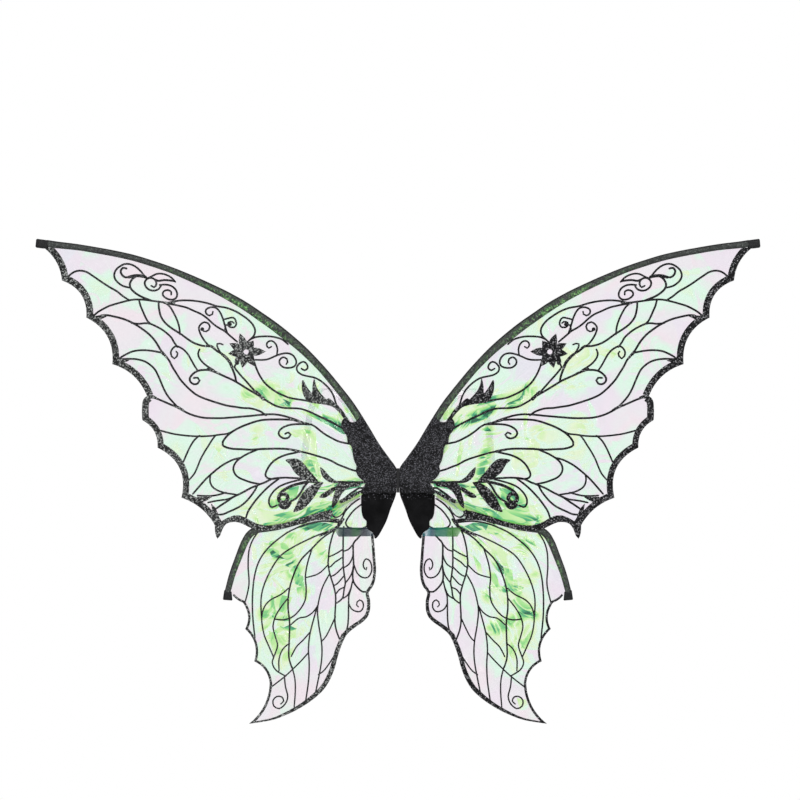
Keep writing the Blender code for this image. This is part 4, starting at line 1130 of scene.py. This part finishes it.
def build_upper(side, part):
    outline, arcs, low = upper_outline()
    eye = disc(EYE_MIDDLE, EYE_RADIUS, 12)
    heavy = [border(a, w) for a, w in zip(arcs, UPPER_BORDER_WIDTHS)]
    heavy.append([p + Vector((0, -1.0)) for p in low if p.x > 86] + [Vector(p) for p in SPIKE_BORDER[::-1]])
    heavy += [ribbon(p, a, b) for a, b, p in UPPER_WEDGES]
    heavy.append(ribbon(eye + eye[:1], EYE_WIDTH))
    heavy += [leaf(points) for points in UPPER_LEAVES]
    heavy += [petal(FLOWER_MIDDLE, a, r, PETAL_WIDTH) for a, r in FLOWER_PETALS]
    heavy.append(disc(FLOWER_MIDDLE, FLOWER_RADIUS))
    prints = [ribbon(p, w + UPPER_INK_SPREAD) for w, p in UPPER_LINES] + [disc(*dot) for dot in UPPER_DOTS]
    panel(side, part, (20, -5), UPPER_Y, outline, prints, heavy, [disc(FLOWER_MIDDLE, FLOWER_EYE, 12)],
          [lead_inner, YOKE_EDGE], YOKE_TOP + YOKE_EDGE, 2.0 if side > 0 else 11.0,
          (UPPER_LIME, UPPER_DEEP, UPPER_MINT), upper_calm,
          RIGHT_UPPER_FOLDS if side > 0 else LEFT_UPPER_FOLDS)


def build_lower(side, part):
    outline, arcs, inner = lower_outline()
    heavy = [border(a, w) for a, w in zip(arcs, LOWER_BORDER_WIDTHS)]
    swell = [lookup(LOW_INNER_WIDTH, -p.y) for p in inner]
    heavy.append(offset(inner, [-1.5] * len(inner)) + offset(inner, swell)[::-1])
    heavy += [ribbon(p, a, b) for a, b, p in LOWER_WEDGES]
    prints = [ribbon(p, w + LOWER_INK_SPREAD) for w, p in LOWER_LINES]
    seams = [widened(low_middle, LOW_WIDTH, 0.5), FELT_EDGE, [(20, -30), (46, -26.5), (60, -30)],
             [(30, -60), (90, -60)]]
    panel(side, part, (50, -30), LOWER_Y, outline, prints, heavy, [], seams, FELT_EDGE,
          5.0 if side > 0 else 17.0, (LOWER_LIME, LOWER_DEEP, LOWER_MINT), lower_calm,
          RIGHT_LOWER_FOLDS if side > 0 else LEFT_LOWER_FOLDS)


# ---------------------------------------------------------------- fabric pieces

BACKING_EDGE = [(56, 70), (54, 58), (52, 44), (50, 30), (47, 16), (42, 2), (42, -8), (40, -14),
                (1.9, -16), (1.9, 12), (8, 15), (14, 16.5), (19, 19.5)]
LOW_BACK_EDGE = [(12, -24), (28, -23), (45, -24), (45.5, -44), (40, -52), (38.5, -61), (30, -68),
                 (28.5, -73), (23, -66), (17, -54), (12, -38)]
FOLD_EDGE = [(41, -63.6), (62, -63.3), (80, -63.6), (84, -66), (82, -71), (79, -75.6), (62, -75.6),
             (44, -75.2), (33, -75), (32.6, -71)]
UPPER_TAB = [(460.5, 316.8), (470, 318.1), (476.4, 318.9), (477.6, 317.7), (478.5, 308.8),
             (477.3, 307.2), (470, 306.2), (462, 305.9)]
LOWER_TAB = [(220.9, -148.6), (230.7, -146.4), (232.4, -158.2), (231.4, -159.3), (220.8, -160.2),
             (219.8, -159.2), (220.2, -155.5)]


def ripple(size_u, size_z, seed, height, base=0.0):
    """Relief of a soft sheet: slow waves of the given height."""
    return lambda u, z: height * noise.noise(Vector((u / size_u, z / size_z, seed))) + base


def cloth(side, name, mat, outline, planes, body, slot, grid=3.0, edge=0.7, relief=None, crown=0.0):
    """Closed layer with rounded edges between two planes, with an optional relief, in mm."""
    outline = [Vector((p[0], p[1])) for p in outline]
    ring = outline + outline[:2]
    beside = offset(ring, [0.5 * edge] * len(ring)) + offset(ring, [-0.5 * edge] * len(ring))
    points = outline + spots_inside(outline, grid, 0.35 * edge, [p + Vector((0.01, 0)) for p in beside])
    verts, _edges, tris = delaunay_2d_cdt(points, [], [list(range(len(outline)))], 1, 1e-4)[:3]
    flat = as_array(verts)
    middle, half = 0.5 * (planes[0] + planes[1]), 0.5 * (planes[1] - planes[0])
    fronts, backs = [], []
    for (u, z), d in zip(flat, distance(flat, outline, True)):
        thick = half * math.sqrt(min(1.0, max(0.12, d / edge)))
        swell = relief(u, z) if relief else 0.0
        lift = crown * smooth(0, 9, d)
        fronts.append(middle - thick - swell - lift)
        backs.append(middle + thick - 0.3 * swell + lift)
    bm, _used = layer(side, flat, tris, fronts, backs)
    return make_object(bm, name, mat, body, sharp=70), *flat_size(outline, outline)


def sewn(side, name, node, held, rests_on, *sheet, **shape):
    """A sheet that stands in for one node of the CAD part; rests_on, the piece it rests on, is not used."""
    obj, size, area = cloth(side, name, *sheet, **shape)
    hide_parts(node)
    return obj


def tube(side, name, path, half_w, half_t, y, body, seed, shine):
    """Fabric channel round a rod: full on the rod's side, pressed flat where it is sewn."""
    bm = bmesh.new()
    rings, run, across, bright = [], [], [], []
    length = 0.0
    for i, (p, d, w) in enumerate(zip(path, tangents(path), half_w)):
        length += (p - path[i - 1]).length if i else 0.0
        ring = []
        for k in range(AROUND_SLEEVE):
            a = 2 * math.pi * k / AROUND_SLEEVE
            c, s = math.cos(a), math.sin(a)
            press = 1 - 0.62 * smooth(0.45, 1.0, c)
            pucker = noise.noise(Vector((length / 5.5, 1.3 * c, seed + 2 * s)))
            fold = noise.noise(Vector((length / 19.0 + 0.8 * c, 0.6 * c, seed + 9)))
            q = p + Vector((d.y, -d.x)) * (w * c * (1 + 0.012 * pucker))
            out = half_t * s * press * (0.90 + 0.16 * pucker + 0.14 * fold)
            ring.append(bm.verts.new(world(side, q.x, y + out, q.y)))
            run.append((length / 3.2, 2.2 * c, seed))
            across.append(0.5 + 0.5 * c)
            bright.append(shine(q.x))
        rings.append(ring)
    inner = []
    for ring, p in zip(rings, path):
        middle = world(side, p.x, y, p.y)
        inner.append([bm.verts.new(v.co + (middle - v.co).normalized() * SLEEVE_CLOTH * MM) for v in ring])
    for shell in (rings, inner, [rings[0], inner[0]], [rings[-1], inner[-1]]):
        loft(bm, shell)
    obj = make_object(bm, name, sleeve_black, body, sharp=80)
    for key, values in (("run", run), ("across", across), ("shine", bright)):
        tag(obj.data, key, 2 * values)
    return obj, length


def stitches(side, name, path, y, body, length=2.3, gap=1.3, radius=0.24, sink=0.1):
    """Row of short threads that lie on a surface along a flat path."""
    marks = [0.0]
    for a, b in zip(path, path[1:]):
        marks.append(marks[-1] + (b - a).length)

    def at(s):
        for m0, m1, a, b in zip(marks, marks[1:], path, path[1:]):
            if s <= m1:
                return a.lerp(b, (s - m0) / max(m1 - m0, 1e-6))
        return path[-1]

    bm = bmesh.new()
    s = gap
    while s + length < marks[-1]:
        d = (at(s + length) - at(s)).normalized()
        rings = []
        for t in (0.0, 0.12, 0.5, 0.88, 1.0):
            p = at(s + t * length)
            bow = -sink - 0.12 * math.sin(math.pi * t)
            r = radius * (0.35 + 0.65 * min(1.0, 2.6 * min(t, 1 - t) + 0.05))
            ring = []
            for k in range(AROUND_THREAD):
                a = 2 * math.pi * k / AROUND_THREAD
                aside = r * math.cos(a)
                place = world(side, p.x + d.y * aside, y, p.y - d.x * aside)
                ring.append(bm.verts.new(place + Vector((0, (bow + r * math.sin(a)) * MM, 0))))
            rings.append(ring)
        capped(bm, rings)
        s += length + gap
    make_object(bm, name, thread_black, body, sharp=80)


def build_sleeve(side, part, path, half, half_t, y, seed, shine, seams):
    """Sleeve of one wing with its rows of stitches, each given by its name and its depth."""
    body = part + "_wing"
    obj, length = tube(side, part + "_sleeve_fabric", path, half, half_t, y, body, seed, shine)
    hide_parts(part + "_sleeve")
    sewn_at = offset(path, [0.60 * h for h in half])[4:-4]
    for word, depth in seams:
        stitches(side, part + word, sewn_at, y + depth, body)


# How strongly the sleeve's painted green reflection shows at each u.
def upper_shine(u):
    return max(0.9 * smooth(130, 170, u) * smooth(285, 235, u), 0.30 * smooth(340, 280, u))


def lower_shine(u):
    return 0.55 * smooth(185, 200, u) * smooth(228, 214, u)


def build_sleeves(side, label):
    lead = spline(LEAD, 2.4)
    path, half = zip(*[(m, 0.5 * lookup(LEAD_WIDTH, p.x))
                       for m, p in zip(widened(lead, LEAD_WIDTH, 0.5), lead) if p.x >= SLEEVE_START])
    build_sleeve(side, label + "_upper", path, half, 2.2, UPPER_Y, 3.0 * side + 8, upper_shine,
                 (("_sleeve_seam", -1.55), ("_sleeve_seam_inside", 1.75)))
    low = spline(LOW_LINE, 2.4)
    build_sleeve(side, label + "_lower", low, [0.5 * lookup(LOW_WIDTH, p.x) for p in low], 2.0, LOWER_Y,
                 3.0 * side + 21, lower_shine, (("_sleeve_seam", -1.4),))
    for word, outline, y, half_t in (("_upper", UPPER_TAB, UPPER_Y, 2.4),
                                     ("_lower", LOWER_TAB, LOWER_Y, 2.2)):
        part = label + word
        tab = sewn(side, part + "_tip_fold", part + "_tip_tab", "folded", part + "_sleeve", sleeve_black,
                   outline, (y - half_t, y + half_t), part + "_wing", "sleeve_fabric", 1.4, 1.8,
                   ripple(3, 3, 5, 0.16))
        tag(tab.data, "run", [(v.co.x * 300, v.co.z * 300, 1) for v in tab.data.vertices])


def build_yokes(side, label):
    upper, lower = label + "_upper_wing", label + "_lower_wing"
    shoulder = [p for p in widened(lead_edge, LEAD_WIDTH, 1.0, 0.5) if p.x > 21 and p.y < 74]
    sewn(side, label + "_glitter_yoke_cloth", label + "_glitter_yoke", "stretched",
         label + "_upper_sleeve", glitter_cloth, YOKE_TOP + spline(YOKE_EDGE, 2.6), YOKE_LAYER, upper,
         "glitter_fabric", 2.6, relief=ripple(13, 13, 3 * side, 0.12, 0.05))
    sewn(side, label + "_yoke_backing_cloth", label + "_yoke_backing", "stretched",
         label + "_upper_sleeve", felt_black, shoulder + BACKING_EDGE, YOKE_BACKING_LAYER, upper, "felt")
    sewn(side, label + "_felt_yoke_cloth", label + "_felt_yoke", "stretched", label + "_lower_sleeve",
         felt_flecked, spline(FELT_EDGE + FELT_EDGE[:1], 2.6)[:-1], FELT_LAYER, lower, "felt", 2.6,
         relief=ripple(16, 16, 8 * side, 0.10))
    sewn(side, label + "_lower_backing_cloth", label + "_lower_backing", "stretched",
         label + "_lower_sleeve", felt_black, LOW_BACK_EDGE, LOWER_BACKING_LAYER, lower, "felt")
    sewn(side, label + "_fold_band_film", label + "_fold_band", "folded", label + "_lower_film",
         fold_teal[side], FOLD_EDGE, BAND_LAYER, lower, "fold_film", 2.4, 0.5,
         ripple(7, 3, 4 * side, 0.10))


STRAP_PATH = [(3.5, -1.9, 9), (9, -1.9, 9), (15.5, -1.9, 9.3), (23, 0.2, 13), (36, 9, 36),
              (55, 26, 76), (79, 56, 110), (102, 95, 121), (118, 132, 97), (127, 155, 46),
              (130, 146, -8), (122, 107, -43), (100, 62, -46), (70, 30, -34), (42, 12, -17),
              (25, 1.4, -7), (15.5, -1.9, -5.3), (9, -1.9, -5), (3.5, -1.9, -5)]
STRAP_CENTRE = Vector((92, 80, 36))


def build_loop(side, label):
    """Clear elastic band with soft edges and two faint ribs along it."""
    profile = []
    for k in range(AROUND_LOOP):
        a = 2 * math.pi * k / AROUND_LOOP
        c, s = math.cos(a), math.sin(a)
        profile.append((5.0 * math.copysign(abs(c) ** 0.45, c),
                        0.4 * math.copysign(abs(s) ** 0.7, s) * (1 + 0.12 * math.cos(5 * a))))
    bm = bmesh.new()
    path = spline(STRAP_PATH, 4.0)
    rings = []
    for p, tangent in zip(path, tangents(path)):
        facing = Vector((0, -1, 0)).lerp((p - STRAP_CENTRE).normalized(), smooth(16, 56, p.x))
        facing = (facing - tangent * facing.dot(tangent)).normalized()
        across = tangent.cross(facing)
        rings.append([bm.verts.new(Vector((side * q.x, q.y, q.z)) * MM)
                      for q in (p + across * a + facing * b for a, b in profile)])
    capped(bm, rings)
    loop = make_object(bm, label + "_arm_loop_elastic", elastic_clear, "harness", sharp=80)
    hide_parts(label + "_arm_loop")


def build_harness():
    for name, node, planes in (("pad_face_cover", "pad_face_felt", PAD_FACE_LAYER),
                               ("pad_outer_cover", "pad_outer_felt", PAD_OUTER_LAYER)):
        pad = cloth(1, name, felt_black, rounded_box(-15, 15, -11, 15, 5), planes, "harness", "felt", 2.0,
                    1.4, ripple(7, 7, 2, 0.08), 0.15)[0]
        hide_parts(node)
    ring = rounded_box(-12.6, 12.6, -8.6, 12.6, 3.2)
    stitches(1, "pad_seam", ring + ring[:1], 0.0, "harness")
    tape = cloth(1, "centre_binding_tape", tape_black, rounded_box(-1.75, 1.75, -17, 15.5, 1.2),
                 BINDING_LAYER, "harness", "binding_tape", 0.8, 1.0)[0]
    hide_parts("centre_binding")
    for side, label in SIDES:
        build_loop(side, label)


build_harness()
for side, label in SIDES:
    build_upper(side, label + "_upper")
    build_lower(side, label + "_lower")
    build_sleeves(side, label)
    build_yokes(side, label)

for name, obj in frame["nodes"].items():
    if name.endswith("_rod") or name == "pad_stiffener":
        for slot in obj.material_slots:
            slot.material = pad_black if name == "pad_stiffener" else rod_black


# ---------------------------------------------------------------- stage, light and camera

def build_stage():
    bm = bmesh.new()
    bmesh.ops.create_circle(bm, cap_ends=True, segments=96, radius=FLOOR_RADIUS)
    mesh = bpy.data.meshes.new("floor")
    bm.to_mesh(mesh)
    bm.free()
    s = Shader("floor_paint", Roughness=0.9)
    s.set(Base_Color=s.ramp(s.noise(3.0), [(0.3, (0.90, 0.90, 0.90)), (0.7, (0.93, 0.93, 0.93))]))
    mesh.materials.append(s.mat)
    floor = bpy.data.objects.new("floor", mesh)
    floor.location = (0, 0, FLOOR_Z)
    bpy.context.scene.collection.objects.link(floor)

    scene = bpy.context.scene
    world_light = bpy.data.worlds.new("studio")
    world_light.use_nodes = True
    tree = world_light.node_tree
    tree.nodes.clear()
    seen = tree.nodes.new("ShaderNodeBackground")
    seen.inputs[0].default_value = (1, 1, 1, 1)
    lit = tree.nodes.new("ShaderNodeBackground")
    lit.inputs[0].default_value = LIT_BY
    path = tree.nodes.new("ShaderNodeLightPath")
    mix = tree.nodes.new("ShaderNodeMixShader")
    out = tree.nodes.new("ShaderNodeOutputWorld")
    tree.links.new(path.outputs["Is Camera Ray"], mix.inputs[0])
    tree.links.new(lit.outputs[0], mix.inputs[1])
    tree.links.new(seen.outputs[0], mix.inputs[2])
    tree.links.new(mix.outputs[0], out.inputs[0])
    scene.world = world_light

    target = Vector((0, 0, 0.05))
    for name, at, size, energy in (("key", (-1.5, -2.4, 1.7), (0.7, 0.7), 26),
                                   ("fill", (1.9, -2.2, 0.8), (0.6, 1.0), 16),
                                   ("strip_left", (-0.9, -3.2, -0.5), (0.12, 1.2), 7),
                                   ("strip_right", (0.8, -3.2, 0.5), (0.12, 1.2), 7),
                                   ("back", (0.3, 2.0, 1.8), (1.4, 1.0), 14)):
        data = bpy.data.lights.new(name, "AREA")
        data.shape = "RECTANGLE"
        data.size, data.size_y = size
        data.energy = energy
        lamp = bpy.data.objects.new(name, data)
        lamp.location = at
        lamp.rotation_euler = (target - Vector(at)).to_track_quat("-Z", "Y").to_euler()
        scene.collection.objects.link(lamp)

    data = bpy.data.cameras.new("camera")
    data.sensor_width = SENSOR
    data.lens = SENSOR * CAMERA_AWAY / VIEW_WIDTH
    camera = bpy.data.objects.new("camera", data)
    camera.location = (CAMERA_X, CAMERA_Y - CAMERA_AWAY, CAMERA_Z)
    camera.rotation_euler = (math.radians(90), 0, 0)
    scene.collection.objects.link(camera)
    scene.camera = camera
    scene.view_settings.view_transform = "Standard"


build_stage()
